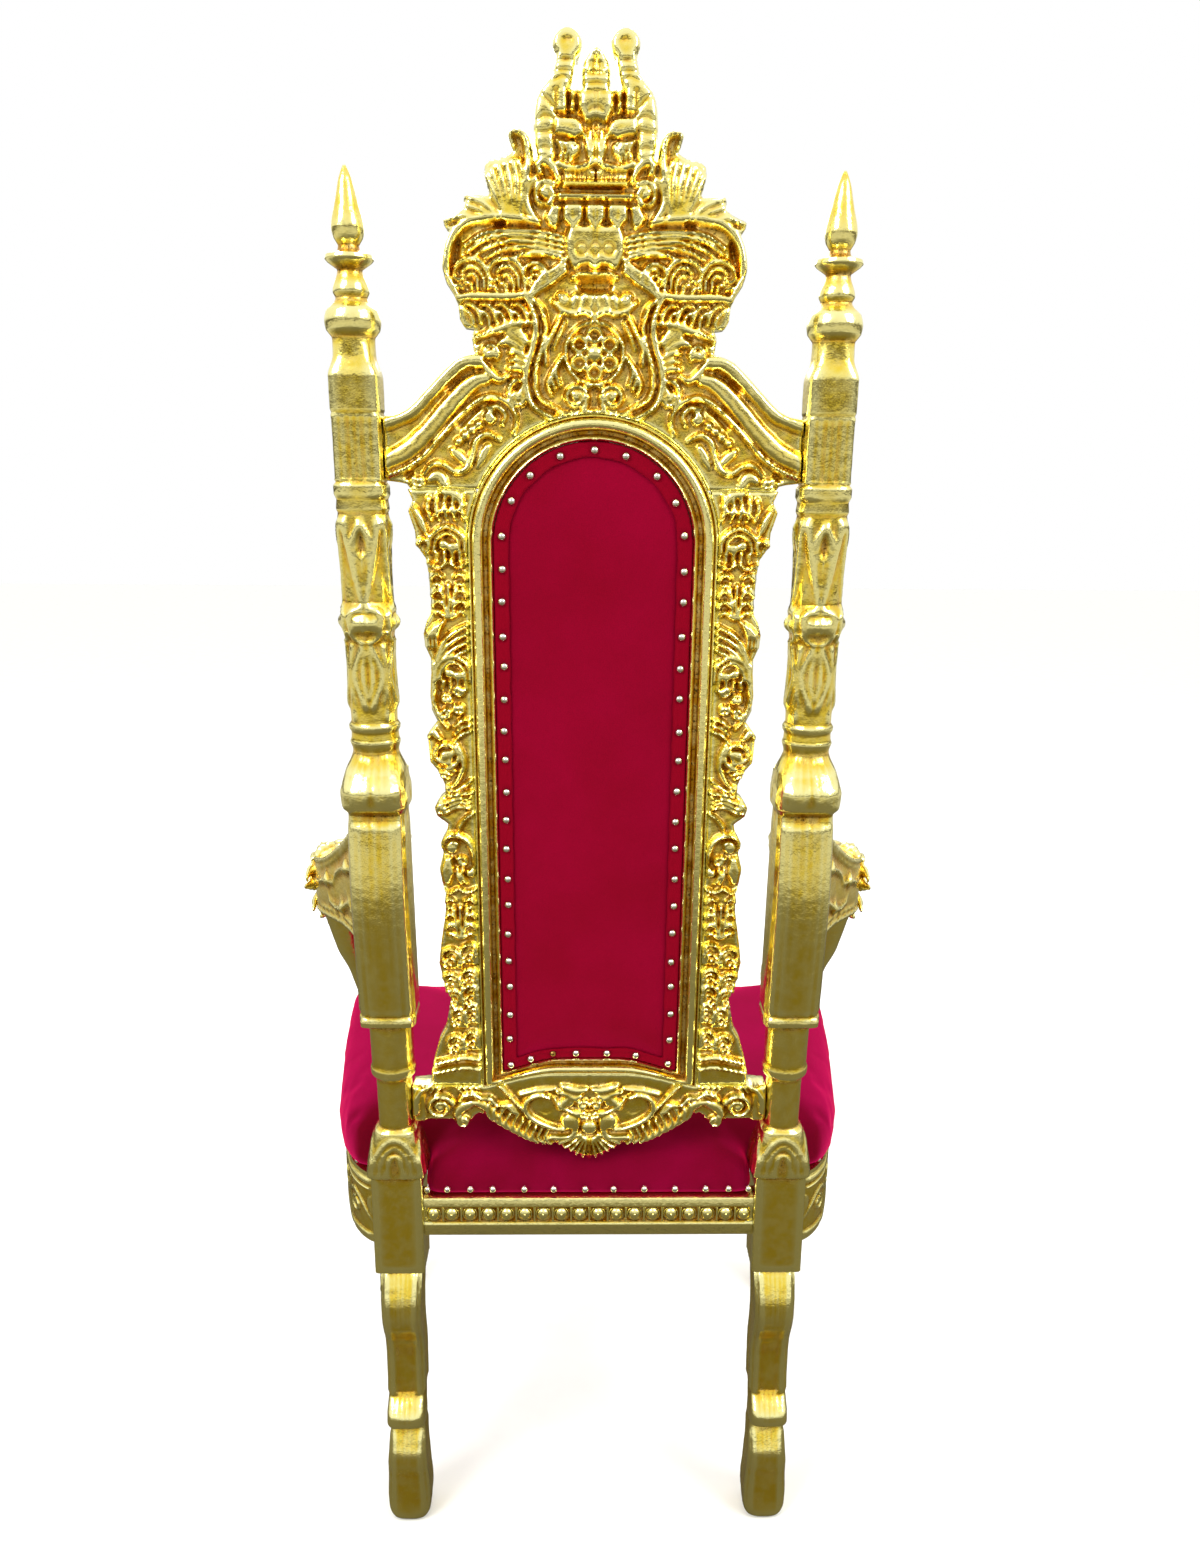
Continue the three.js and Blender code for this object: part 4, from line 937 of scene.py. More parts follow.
def lower_rail_field(pitch):
    """The whole lower rail as heights, drawn on one half and cut to the posts."""
    across = np.linspace(0, LOWER_RAIL_SPAN, int(LOWER_RAIL_SPAN / pitch) + 1)
    up = np.arange(LOWER_RAIL_FOOT - DRAWN_BEYOND, LOWER_RAIL_TOP + DRAWN_BEYOND, pitch)
    c = Carving(across, up)
    c.inside = inside_of(lower_rail_outline(), c.x, c.z)
    middle = np.minimum(LOWER_RAIL_TOP - c.z, c.z - LOWER_RAIL_FOOT)
    c.inside = np.where(c.x < 1, np.maximum(c.inside, middle), c.inside)
    carve_lower_rail(c)
    c.pack(0.45)
    c.inside = np.minimum(c.inside, panel_distance(c.x, c.z) - MOULDING - GAP)
    post = np.interp(c.z, [600, 608, 613, 679, 690, 700], [34, 28, 23, 23, 29, 29])
    c.inside = np.minimum(c.inside, POST_X - post - GAP - c.x)
    c.tooled(0.3, 7)
    c.soften(1)
    return c.both_halves()


def board_mesh(field, rear_share=1.0, front_share=0.5):
    """A board of the back: full carving behind, a plainer echo of it in front."""
    plain = Carving(field.across, field.up)
    plain.height = field.height.copy()
    plain.soften(4)
    rear = BOARD_REAR + rear_share * field.height
    front = BOARD_FRONT - front_share * np.clip(plain.height, -2, 9)
    points, faces = plate(field, rear, front)
    return leaned(points), faces


# ---- posts and legs: carving wrapped round a turned shape ----
WRAP = 26.0  # a post's usual radius: the distance across a wrapped field is this times the angle
QUARTER = WRAP * TAU / 4

# Height, half width, half depth, middle's Y, squareness (2 is round), from the finial down to the foot.
POST_SHAPE = [
    (1714, 1.5, 1.5, 0, 2), (1703, 6, 6, 0, 2), (1680, 11.5, 11.5, 0, 2), (1657, 16.5, 16.5, 0, 2),
    (1648, 14.5, 14.5, 0, 2), (1641, 10.5, 10.5, 0, 2), (1636, 12, 12, 0, 2), (1632, 23.5, 23.5, 0, 2),
    (1628, 24.5, 24.5, 0, 2), (1624, 20, 20, 0, 2), (1618, 12.5, 12.5, 0, 2), (1602, 18, 18, 0, 2),
    (1598, 18.5, 18.5, 0, 2), (1592, 16, 16, 0, 2), (1588, 18, 18, 0, 2), (1580, 26.5, 26.5, 0, 2),
    (1570, 28.8, 28.8, 0, 2), (1562, 27.5, 27.5, 0, 2), (1554, 22, 22, 0, 2), (1537, 21.5, 21.5, 0, 3),
    (1516, 26.5, 25, 0, 5), (1484, 26.5, 25, 0, 5), (1481, 25.4, 24, 0, 5), (1478, 26.5, 25, 0, 5),
    (1413, 26.5, 25, 0, 5), (1411, 25.5, 24.5, 0, 4), (1407, 29, 27, 0, 3), (1398, 29, 27, 0, 3),
    (1393, 27, 26, 0, 2.5), (1383, 28, 26.5, 0, 2.4), (1379, 26.5, 25.5, 0, 2.4),
    (1373, 27.5, 26, 0, 2.4), (1307, 24.5, 24, 0, 2), (1284, 25, 25, 0, 2), (1272, 29, 29.5, 0, 2),
    (1252, 28, 28.5, 0, 2), (1240, 24.5, 25, 0, 2), (1165, 26.2, 25.8, 0, 2), (1148, 26, 25.5, 0, 2),
    (1143, 29, 28, 0, 2), (1139, 28.5, 27.5, 0, 2), (1135, 26.5, 26, 0, 2), (1128, 27, 26, 0, 2),
    (1124, 28.5, 27.5, 0, 2), (1120, 27.5, 26.5, 0, 2), (1115, 26.2, 25.2, 0, 2),
    (1106, 29, 27.5, 1, 2.5), (1090, 36, 37, 6, 3), (1070, 39.3, 41.8, 12, 3.4),
    (1052, 38, 39.5, 10, 3.6), (1041, 34.3, 33.5, 4, 4), (1037, 34.3, 33.5, 4, 4), (1024, 35, 36, 6, 4),
    (940, 35.6, 40.6, 10, 4), (840, 35.6, 37.4, 6.5, 4), (780, 35.4, 34.4, 3.5, 4),
    (772, 34.9, 35.5, 3, 6), (766, 34.5, 33, 3, 6), (764.5, 27, 26, 0, 2.4), (701, 26.6, 25.8, 0, 2),
    (696, 28.6, 27.2, 0, 2), (689, 28.2, 27, 0, 2), (680, 22.4, 22.2, 0, 2), (613, 22.3, 22.2, 0, 2.2),
    (607, 27, 26.5, 0, 3), (580, 31.5, 29.5, 0, 4), (546, 36.5, 32.6, 0, 5), (542.5, 33, 30, 0, 12),
    (403, 33, 30, 0, 12), (401.5, 26, 23, -8, 5), (390, 26.4, 26, -4, 5), (374, 26, 29, 1, 5),
    (356, 25.4, 31.5, 5, 5), (336, 25, 31, 7, 5), (318, 24.6, 28, 5, 5.5), (290, 24.2, 23.5, -4, 6),
    (262, 24.4, 22, -9, 6), (225, 24.4, 22, -8, 6), (206, 24.5, 22, -6, 6), (201, 25.2, 22.5, -3, 4.5),
    (190, 26, 25, 5, 4), (177, 26.4, 26.6, 12, 4), (166, 26.2, 26, 12.5, 4), (159, 25.0, 23, 8, 4),
    (154, 24.4, 20.5, -3, 4.5), (148, 24.6, 20.5, -2, 4.5), (130, 25, 22.5, 4, 4.5),
    (112, 25.6, 25, 9, 4.5), (98, 26.4, 25.5, 9.5, 4.5), (80, 26.8, 25, 7, 4.5), (40, 28.6, 26, 5, 4.5),
    (16, 28.2, 26.4, 6, 3.8), (6, 25.4, 24, 6, 3.4), (0, 17, 18, 6, 3),
]


def smooth_table(rows, z):
    """Every column of a table at other heights, without overshooting its rows."""
    rows = np.array(rows, float)
    rows = rows[np.argsort(rows[:, 0])]
    h = np.diff(rows[:, 0])
    out = []
    for column in rows[:, 1:].T:
        slope = np.diff(column) / h
        same = slope[:-1] * slope[1:] > 0
        inner = np.where(same, 2 * slope[:-1] * slope[1:] / np.where(same, slope[:-1] + slope[1:], 1), 0)
        tangent = np.concatenate([[slope[0]], inner, [slope[-1]]])
        i = np.clip(np.searchsorted(rows[:, 0], z, side="right") - 1, 0, len(h) - 1)
        t = (z - rows[i, 0]) / h[i]
        out.append(column[i] * (1 + 2 * t) * (1 - t) ** 2 + column[i + 1] * t * t * (3 - 2 * t)
                   + h[i] * (tangent[i] * t * (1 - t) ** 2 + tangent[i + 1] * t * t * (t - 1)))
    return out


def wrapped(rows, middle_x, field):
    """A closed turned or squared member with its carving wrapped round it, behind first."""
    wide, deep, y, square = (v[:, None] for v in smooth_table(rows, field.up))
    angle = field.across / WRAP
    s, c = np.sin(angle)[None, :], np.cos(angle)[None, :]
    reach = (np.abs(s) ** square + np.abs(c) ** square) ** (-1 / square)
    x = middle_x + (wide + field.height) * reach * s
    depth = y + (deep + field.height) * reach * c
    return np.stack([x, depth, np.broadcast_to(field.z, x.shape)], axis=-1)


def round_field(rows, columns, pitch, low=None, high=None):
    """An empty wrapped field over a member's whole height; rows keep the profile's sharp steps."""
    heights = np.array([row[0] for row in rows], float)
    low, high = heights.min() if low is None else low, heights.max() if high is None else high
    even = np.arange(low, high, pitch)
    up = np.unique(np.concatenate([even, heights[(heights >= low) & (heights <= high)]]))
    up = up[np.concatenate([[True], np.diff(up) > 0.4])]
    return Carving((np.arange(columns) / columns - 0.5) * TAU * WRAP, up)


def every_side(draw):
    """Repeats a motif on the four sides of a member, meeting itself where the field wraps."""
    for k in range(-2, 3):
        draw(k * QUARTER)


def carve_post(c):
    """Flutes, spear leaf, knot, drapery leaf, fluted bulb, ribbed panel, capital and the leg's flutes."""
    ground = np.clip(np.minimum(c.z - 1163, 1374 - c.z) / 6, 0, 1)
    c.height -= 3.2 * ground * np.clip(np.abs(c.z - 1261) / 22, 0, 1)

    def shaft(o):
        for dx in (-15, -7.5, 0, 7.5, 15):
            c.groove([(o + dx, 1476), (o + dx, 1444), (o + dx, 1415)], 3.6, 2.6)
        for s in (-1, 1):
            c.strand([(o + 17 * s, 1370), (o + 11 * s, 1326), (o + 2 * s, 1284)], (8, 8, 6), 4.0)
            c.strand([(o + 8 * s, 1338), (o + 5 * s, 1312), (o + s, 1290)], (5, 5, 4), 3.0)
            c.strand([(o + 9 * s, 1350), (o, 1368)], 6, 4.2)
            c.strand([(o + 9 * s, 1350), (o + 2 * s, 1330)], 5, 3.4)
            c.boss((o + 12 * s, 1260), (8, 11), 5)
            c.groove([(o + 8 * s, 1272), (o + 13 * s, 1262), (o + 9 * s, 1250)], 3, 3.4)
            c.strand([(o + 2 * s, 1279), (o + 11 * s, 1276), (o + 18 * s, 1268)], 4.6, 5)
            c.strand([(o + 2 * s, 1240), (o + 11 * s, 1243), (o + 18 * s, 1250)], 4.6, 5)
            c.strand([(o + 4 * s, 1238), (o + 15 * s, 1204), (o + 4 * s, 1167)], (7, 8, 6), 4.0)
            c.strand([(o + 18 * s, 1236), (o + 19.5 * s, 1204), (o + 17 * s, 1172)], (4, 5, 4), 3.0)
            c.strand([(o + s, 1232), (o + 6 * s, 1204), (o + s, 1176)], (5, 5, 4), 3.6)
            c.boss((o + 20 * s, 1156), (3, 9), 2.5)
        c.hollow([(o, 1362), (o + 8, 1340), (o, 1318), (o - 8, 1340)], 3.0, 2.5)
        c.strand([(o, 1330), (o, 1300)], (3, 5), 3.6)
        c.boss((o, 1261), (5.5, 9), 6.5)

    def panel(o):
        for dx in (-18, -12, -6, 0, 6, 12, 18):
            c.groove([(o + dx, 1110), (o + dx * 0.98, 1088), (o + dx * 0.94, 1058)], (4, 4, 1), 3.6)
        for s in (-1, 1):
            c.groove([(o + 16.4 * s, 1044), (o + 16.4 * s, 900), (o + 16.4 * s, 768)], 5, 2.6)
            c.groove([(o + 10.2 * s, 1044), (o + 10.2 * s, 900), (o + 10.2 * s, 790)], (5, 4.4, 3),
                     (2.6, 1.8, 0.8))
        for dx in (-4, 4):
            c.groove([(o + dx, 1044), (o + dx, 985), (o + dx * 0.9, 900)], (5.4, 4.4, 1.5), (2.8, 2, 0.5))
        c.groove([(o - 20, 780), (o, 781), (o + 20, 780)], 3, 2.4)

    def foot(o):
        for s in (-1, 1):
            for k, reach in enumerate((19.5, 13.5, 7.5)):
                c.strand([(o + reach * s, 546), (o + (reach - 1.5) * s, 572 - 2 * k),
                          (o + reach * 0.5 * s, 594 - 9 * k), (o, 600 - 11 * k)], (3.4, 4.2, 4.2, 3.6), 5)
            c.strand([(o + 16.4 * s, 398), (o + 15.8 * s, 300), (o + 16.4 * s, 205)], (5, 4, 4.4), 3)
            c.strand([(o + 16.6 * s, 140), (o + 16 * s, 60), (o + 17 * s, 20)], (4, 4, 4), 2.2)
        for dx in (-13, -6.5, 0, 6.5, 13):
            c.groove([(o + dx, 402), (o + dx * 0.97, 372), (o + dx * 0.94, 320)], (4.6, 4.2, 2),
                     (2.6, 2.0, 0.4))
            c.groove([(o + dx, 200), (o + dx, 186), (o + dx, 168)], (4.6, 4.2, 2), (2.4, 2, 0.4))
            c.groove([(o + dx, 152), (o + dx, 132), (o + dx, 104)], (4.6, 4.2, 2), (2.2, 1.8, 0.4))

    for motif in (shaft, panel, foot):
        every_side(motif)


def post_mesh(columns, pitch):
    """A rear post, wrapped in its carving and leaning above the seat."""
    c = round_field(POST_SHAPE, columns, pitch)
    carve_post(c)
    c.tooled(0.22, 9)
    c.soften(1)
    c.height[[0, -1], :] = 0
    points, faces = skin(wrapped(POST_SHAPE, POST_X, c)[:, ::-1])
    return leaned(points), faces


FRONT_LEG_X, FRONT_LEG_Y = 337, -450
# The front leg is drawn about its own middle: height, half width, half depth, middle's Y, squareness.
FRONT_LEG_SHAPE = [
    (507.7, 18.6, 18.6, -1, 12), (402.2, 18.6, 18.6, -1, 12), (401.6, 29, 31, -5, 6),
    (392, 30.8, 34.5, -8, 5.5), (380, 30.8, 35.8, -10, 5), (345, 28.8, 33.8, -10, 4),
    (300, 24, 27, -2, 4), (230, 20, 22, 8, 4), (160, 19, 20, 10, 4), (110, 20, 22, 2, 4),
    (70, 24, 28, -8, 3), (34, 29, 36, -16, 3), (20, 29.6, 37.6, -18, 3.4), (8, 29, 37.5, -18, 4),
    (0, 24, 32, -18, 4),
]


def front_leg_mesh(columns, pitch):
    """A cabriole leg: leaves over the knee, a ring at the ankle and a fluted paw of a foot."""
    c = round_field(FRONT_LEG_SHAPE, columns, pitch)

    def knee(o):
        c.leaf([(o, 392), (o, 350), (o, 296)], 26, 5, veins=2, lobes=3)
        for s in (-1, 1):
            c.leaf([(o + 13 * s, 394), (o + 18 * s, 366), (o + 12 * s, 330)], 15, 4, veins=1)
            c.strand([(o + 14 * s, 300), (o + 14 * s, 200), (o + 15 * s, 100)], (3.5, 2.6, 3.5), 1.6)
        for dx in (-12, -4, 4, 12):
            c.groove([(o + dx * 0.7, 82), (o + dx, 50), (o + dx, 12)], (1, 3.4, 4), 3.2)
        c.groove([(o - 21, 96), (o, 95), (o + 21, 96)], 3, 2)

    every_side(knee)
    c.tooled(0.2, 4)
    c.soften(1)
    block = c.up > SIDE_RAIL_FOOT
    c.height[block] = 0
    c.height[[0, -1], :] = 0
    shift = np.where(c.up > SIDE_RAIL_FOOT, 0.0, 3.0)[:, None]
    rings = wrapped(FRONT_LEG_SHAPE, FRONT_LEG_X, c)
    rings[:, :, 0] += shift
    rings[:, :, 1] += FRONT_LEG_Y
    points, faces = skin(rings[:, ::-1])
    return upright(points), faces


# ---- the moulding round the panel ----
def panel_ring(distance, step=7.0):
    """The panel's edge set out by a distance, from the middle of its foot round the arch, anticlockwise."""
    radius = PANEL_SIDE + distance
    low = PANEL_FOOT - distance * 0.8
    arc = np.linspace(0, math.pi, int(math.pi * PANEL_SIDE / step))
    side = np.linspace(low, ARCH_Z, int((ARCH_Z - PANEL_FOOT) / step))[:-1]
    foot = np.linspace(-1, 1, int(2 * PANEL_SIDE / step))[1:-1]
    right = np.column_stack([np.full(len(side), radius), side])
    top = np.column_stack([radius * np.cos(arc), ARCH_Z + radius * np.sin(arc)])
    left = right[::-1] * (-1, 1)
    base = np.column_stack([foot * radius, low + foot_rise(foot)])
    return np.concatenate([right, top, left, base])


def moulding_mesh():
    """A run moulding with a deep cove by the velvet, a half-round band, a quirk and an outer fillet."""
    # Distance from the velvet and height behind the posts' middle plane, then the plainer front.
    profile = [(0.3, 1), (0.6, 4.5), (2.2, 6.2), (4, 5.2), (7, 1.6), (10, 2.2), (11.4, 6.5), (12.4, 9.6),
               (14.5, 12.2), (17.5, 12.6), (20.4, 11.2), (22.2, 8.4), (23, 5.6), (24, 4.8), (24.8, 7.2),
               (26, 7.6), (26.8, 6.6), (27, 5), (27, -20), (26.4, -21.6), (24, -22), (20, -22.4), (17.5, -26),
               (13, -27), (9.4, -26), (8, -22.5), (4, -22), (0.8, -21.8), (0.3, -21)]
    rings = []
    for distance, y in profile + profile[:1]:
        line = panel_ring(distance)
        rings.append(np.column_stack([line[:, 0], np.full(len(line), float(y)), line[:, 1]]))
    rings = np.array(rings)
    points, faces = skin(rings[:-1], caps=False)
    count, rows = rings.shape[1], len(profile)
    last = (rows - 1) * count
    faces += [[last + i, last + (i + 1) % count, (i + 1) % count, i] for i in range(count)]
    return leaned(points), faces


# ---- seat rails ----
SEAT_PLAN = [(30.3, 278), (42, 300), (62, 318), (90, 331), (170, 351), (300, 371), (410, 383), (472, 388)]
RAIL_THICK = 28
SEAT_DEPTH = 500  # the cushion's front, from the posts' middle plane


def side_rail_mesh(pitch):
    """A side rail along the seat's swelling plan, its outer face carved with running leaves."""
    line = curve([(x, -f) for f, x in SEAT_PLAN], 8)
    steps = passed(line)
    along = np.arange(0, steps[-1], pitch)
    along = np.append(along, steps[-1])
    path = np.column_stack([np.interp(along, steps, line[:, k]) for k in (0, 1)])
    out = np.column_stack([-np.gradient(path[:, 1]), np.gradient(path[:, 0])])
    out /= np.hypot(*out.T)[:, None]
    c = Carving(along, np.arange(SIDE_RAIL_FOOT, RAIL_TOP + 0.1, pitch))
    length = steps[-1]
    c.strand([(0, 495), (length, 495)], 9, 3.4)
    c.strand([(0, 412), (length, 412)], 9, 3)
    c.strand([(0, 484), (length, 484)], 3, 2)
    unit = length / 3
    for k in range(3):
        x = k * unit + 8
        c.strand([(x, 428), (x + unit * 0.3, 468), (x + unit * 0.62, 440), (x + unit * 0.95, 462)],
                 (4, 7, 7, 3), 3.2, grooves=1)
        c.volute((x + unit * 0.28, 448), 14, 0.25, -1.3, 5, 3.4)
        c.volute((x + unit * 0.72, 456), 13, 0.75, 1.3, 5, 3.4)
        c.leaf([(x + unit * 0.4, 428), (x + unit * 0.5, 450), (x + unit * 0.45, 476)], 17, 3.4, veins=2)
        c.leaf([(x + unit * 0.8, 476), (x + unit * 0.92, 452), (x + unit * 0.98, 426)], 17, 3.4, veins=2)
        c.leaf([(x, 474), (x + unit * 0.08, 462), (x + unit * 0.02, 436)], 12, 3, veins=1)
    ends = np.clip(np.minimum(along - 12, length - along + 6) / 12, 0, 1)[None, :]
    c.height = np.clip(c.height, 0, 3.5) * ends
    outer = path[None, :, :] + out[None, :, :] * c.height[:, :, None]
    inner = path - out * RAIL_THICK
    inner[:, 0] = np.maximum(inner[:, 0], POST_X + 4)
    sheet = [np.column_stack([inner, np.full(len(path), z)]) for z in (RAIL_TOP, SIDE_RAIL_FOOT)]
    rows = [np.column_stack([outer[k], np.full(len(path), z)]) for k, z in enumerate(c.up)]
    rings = np.stack(rows + sheet, axis=1)
    points, faces = skin(rings)
    return upright(points), faces


def front_rail_mesh(pitch):
    """The front rail: a shaped apron with a shell and running leaves on its front face."""
    half = FRONT_RAIL_BOX[1][0] / MM
    foot_z = FRONT_RAIL_BOX[0][2] / MM
    c = Carving(np.linspace(0, half + pitch, int(half / pitch) + 2),
                np.arange(foot_z - pitch, RAIL_TOP + 2 * pitch, pitch))
    low = curve([(0, foot_z), (24, 383), (45, 392), (70, 409), (90, 418), (130, 422), (180, 424), (216, 414),
                 (250, 404), (300, 402), (half + 9, 402)], 4)
    c.inside = np.minimum(np.minimum(c.z - np.interp(c.x, low[:, 0], low[:, 1]), RAIL_TOP - c.z), half - c.x)
    c.strand([(-8, 494), (half + 9, 494)], 8, 3.4)
    c.strand([(-8, 485), (half + 9, 485)], 3, 2)
    c.fan((0, 466), 8, 80, 0.57, 0.93, 9, 3.4)
    c.boss((0, 466), 11, 3.4)
    c.strand([(18, 398), (50, 412), (92, 428), (134, 432), (182, 434), (222, 424), (256, 415), (half, 413)],
             6, 3)
    c.strand([(44, 436), (80, 462), (124, 470), (158, 456), (170, 442)], (5, 9, 9, 5), 3.4, grooves=1)
    c.volute((150, 452), 15, 0.8, 1.4, 5, 3.4)
    c.leaf([(70, 440), (96, 446), (120, 440)], 15, 3.2, veins=2)
    c.leaf([(96, 470), (110, 478), (134, 476)], 9, 3, veins=1)
    for x, turn in ((196, 1), (262, -1), (322, 1)):
        c.volute((x, 450), 15, 0.25, 1.3 * turn, 5, 3.4)
        c.leaf([(x - 6, 430 + 6 * turn), (x + 22, 446), (x + 30, 474)], 17, 3.4, veins=2)
        c.leaf([(x + 14, 476), (x + 34, 458), (x + 38, 430)], 14, 3.2, veins=2)
    c.soften(1)
    whole = c.both_halves()
    front = FRONT_RAIL_BOX[0][1] / MM - POST_Y + 6
    points, faces = plate(whole, front + RAIL_THICK, front - np.clip(whole.height, -1, 5.5), 2.0)
    return upright(points), faces


def rear_rail_mesh():
    """The plain rear rail with its fillets; its egg moulding is set in by a node tree."""
    z = [REAR_RAIL_FOOT, REAR_RAIL_FOOT + 1.5, 466, 467.5, 471, 472.5, 474.5, 475.5, 494.5, 495.5, 498.5, 500,
         RAIL_TOP - 1, RAIL_TOP]
    y = [18.5, 20, 20, 21.5, 21.5, 20, 20, 17.5, 17.5, 20.5, 20.5, 20, 20, 19]
    section = list(zip(y, z)) + [(-8, RAIL_TOP), (-8, REAR_RAIL_FOOT)]
    stations = np.linspace(-RAIL_EDGE, RAIL_EDGE, 40)
    rings = [[(x, a, b) for a, b in section] for x in stations]
    points, faces = skin(np.array(rings))
    return upright(points), faces


def egg_moulding(material, units=18):
    """Eggs in square frames along the rear rail, made by Geometry Nodes."""
    tree = bpy.data.node_groups.new("egg_moulding", "GeometryNodeTree")
    face = tree.interface
    face.new_socket("Geometry", in_out="OUTPUT", socket_type="NodeSocketGeometry")
    sockets = {}
    for name, kind, value in (("Count", "NodeSocketInt", units),
                              ("Length", "NodeSocketFloat", 2 * RAIL_EDGE * MM),
                              ("Egg", "NodeSocketFloat", 7.6 * MM), ("Pip", "NodeSocketFloat", 1.6 * MM),
                              ("Height", "NodeSocketFloat", 485 * MM),
                              ("Depth", "NodeSocketFloat", (POST_Y + 19.2) * MM)):
        socket = face.new_socket(name, in_out="INPUT", socket_type=kind)
        sockets[name] = (socket.identifier, value)
    given = node(tree, "NodeGroupInput").outputs
    pitch = node(tree, "ShaderNodeMath", {"operation": "DIVIDE"},
                 {0: given["Length"], 1: given["Count"]}).outputs[0]
    start = node(tree, "ShaderNodeMath", {"operation": "MULTIPLY_ADD", 1: -0.5}, {0: given["Length"]})
    half_pitch = node(tree, "ShaderNodeMath", {"operation": "MULTIPLY", 1: 0.5}, {0: pitch}).outputs[0]
    tree.links.new(half_pitch, start.inputs[2])
    first = node(tree, "ShaderNodeCombineXYZ", links={"X": start.outputs[0], "Y": given["Depth"],
                                                      "Z": given["Height"]}).outputs[0]
    step = node(tree, "ShaderNodeCombineXYZ", links={"X": pitch}).outputs[0]
    line = node(tree, "GeometryNodeMeshLine", {"mode": "OFFSET"},
                {"Count": given["Count"], "Start Location": first, "Offset": step}).outputs[0]
    egg = node(tree, "GeometryNodeMeshUVSphere", {"Segments": 14, "Rings": 10},
               {"Radius": given["Egg"]}).outputs[0]
    egg = node(tree, "GeometryNodeTransform", {"Scale": (1.0, 0.62, 1.12)}, {0: egg}).outputs[0]
    frame_side = node(tree, "GeometryNodeMeshCylinder",
                      {"Vertices": 8, "Radius": 1.5 * MM, "Depth": 20.5 * MM})
    upright_bar = node(tree, "GeometryNodeTransform", {"Translation": (11.3 * MM, 0, 0)},
                       {0: frame_side.outputs[0]}).outputs[0]
    rim = node(tree, "GeometryNodeCurvePrimitiveCircle", {"Resolution": 20, "Radius": 8.8 * MM}).outputs[0]
    rim = node(tree, "GeometryNodeTransform", {"Rotation": (math.pi / 2, 0, 0), "Scale": (1.0, 1.0, 1.06)},
               {0: rim}).outputs[0]
    wire = node(tree, "GeometryNodeCurvePrimitiveCircle", {"Resolution": 6, "Radius": 1.0 * MM}).outputs[0]
    rim = node(tree, "GeometryNodeCurveToMesh", links={0: rim, 1: wire}).outputs[0]
    pip = node(tree, "GeometryNodeMeshUVSphere", {"Segments": 10, "Rings": 6},
               {"Radius": given["Pip"]}).outputs[0]
    pip = node(tree, "GeometryNodeTransform", {"Translation": (0, 4.4 * MM, 1 * MM)}, {0: pip}).outputs[0]
    unit = node(tree, "GeometryNodeJoinGeometry")
    for part in (egg, pip, upright_bar, rim):
        tree.links.new(part, unit.inputs[0])
    placed = node(tree, "GeometryNodeInstanceOnPoints",
                  links={"Points": line, "Instance": unit.outputs[0]}).outputs[0]
    real = node(tree, "GeometryNodeRealizeInstances", links={0: placed}).outputs[0]
    done = node(tree, "GeometryNodeSetMaterial", {"Material": material}, {0: real}).outputs[0]
    node(tree, "NodeGroupOutput", links={0: done})
    return grown("egg_moulding", tree, sockets)


def grown(name, tree, sockets, base=None):
    """Runs a node tree on a base mesh and returns its result as a plain mesh."""
    holder = linked(name + "_holder", base or bpy.data.meshes.new(name + "_base"))
    modifier = holder.modifiers.new("grow", "NODES")
    modifier.node_group = tree
    for identifier, value in sockets.values():
        modifier[identifier] = value
    result = evaluated(holder)
    bpy.data.objects.remove(holder)
    return result


# ---- the arms ----
def ellipsoid(middle, radii, turn=0.0, across=16, up=10):
    """A closed egg shape; turn tips it forwards about X, in turns."""
    phi = np.linspace(0, math.pi, up + 1)[1:-1]
    theta = np.arange(across) / across * TAU
    rings = np.stack([np.stack([np.sin(p) * np.cos(theta), np.sin(p) * np.sin(theta),
                                np.full(across, math.cos(p))], axis=-1) for p in phi])
    rings = rings * radii
    c, s = math.cos(turn * TAU), math.sin(turn * TAU)
    y, z = rings[:, :, 1] * c - rings[:, :, 2] * s, rings[:, :, 1] * s + rings[:, :, 2] * c
    rings = np.stack([rings[:, :, 0], y, z], axis=-1) + middle
    return skin(rings)


def lock(points, radii, across=10, steps=4, flat=1.0):
    """A tapering lock or scroll member along a line in space."""
    line = curve(points, steps)
    ahead = np.gradient(line, axis=0)
    ahead /= np.linalg.norm(ahead, axis=1)[:, None]
    side = np.cross(ahead, (0.31, 0.22, 0.92))
    side /= np.linalg.norm(side, axis=1)[:, None]
    up = np.cross(side, ahead)
    radius = between(np.linspace(0, 1, len(line)), radii)
    theta = np.arange(across) / across * TAU
    rings = (line[:, None, :] + radius[:, None, None]
             * (np.cos(theta)[None, :, None] * side[:, None, :]
                + flat * np.sin(theta)[None, :, None] * up[:, None, :]))
    return skin(rings)


def member(stations, sides=28):
    """A loft of superellipse rings, each given as (middle, half across, half up, axis, squareness)."""
    rings = []
    theta = np.arange(sides) / sides * TAU
    for middle, a, b, axis, square in stations:
        c, s = np.cos(theta), np.sin(theta)
        reach = (np.abs(c) ** square + np.abs(s) ** square) ** (-1 / square)
        ring = np.zeros((sides, 3))
        ring[:, 0] = a * reach * c
        ring[:, axis] = b * reach * s
        rings.append(ring + middle)
    return skin(np.array(rings))


def table_stations(rows, axis, square, steps):
    """Evenly stepped stations through a table of (place along, x, other, half, half)."""
    rows = np.array(rows, float)
    t = np.linspace(rows[:, 0].min(), rows[:, 0].max(), steps)
    x, other, a, b = smooth_table(rows, t)
    for k in range(steps):
        middle = (x[k], -t[k], other[k]) if axis == 2 else (x[k], -other[k], t[k])
        yield middle, a[k], b[k], axis, square


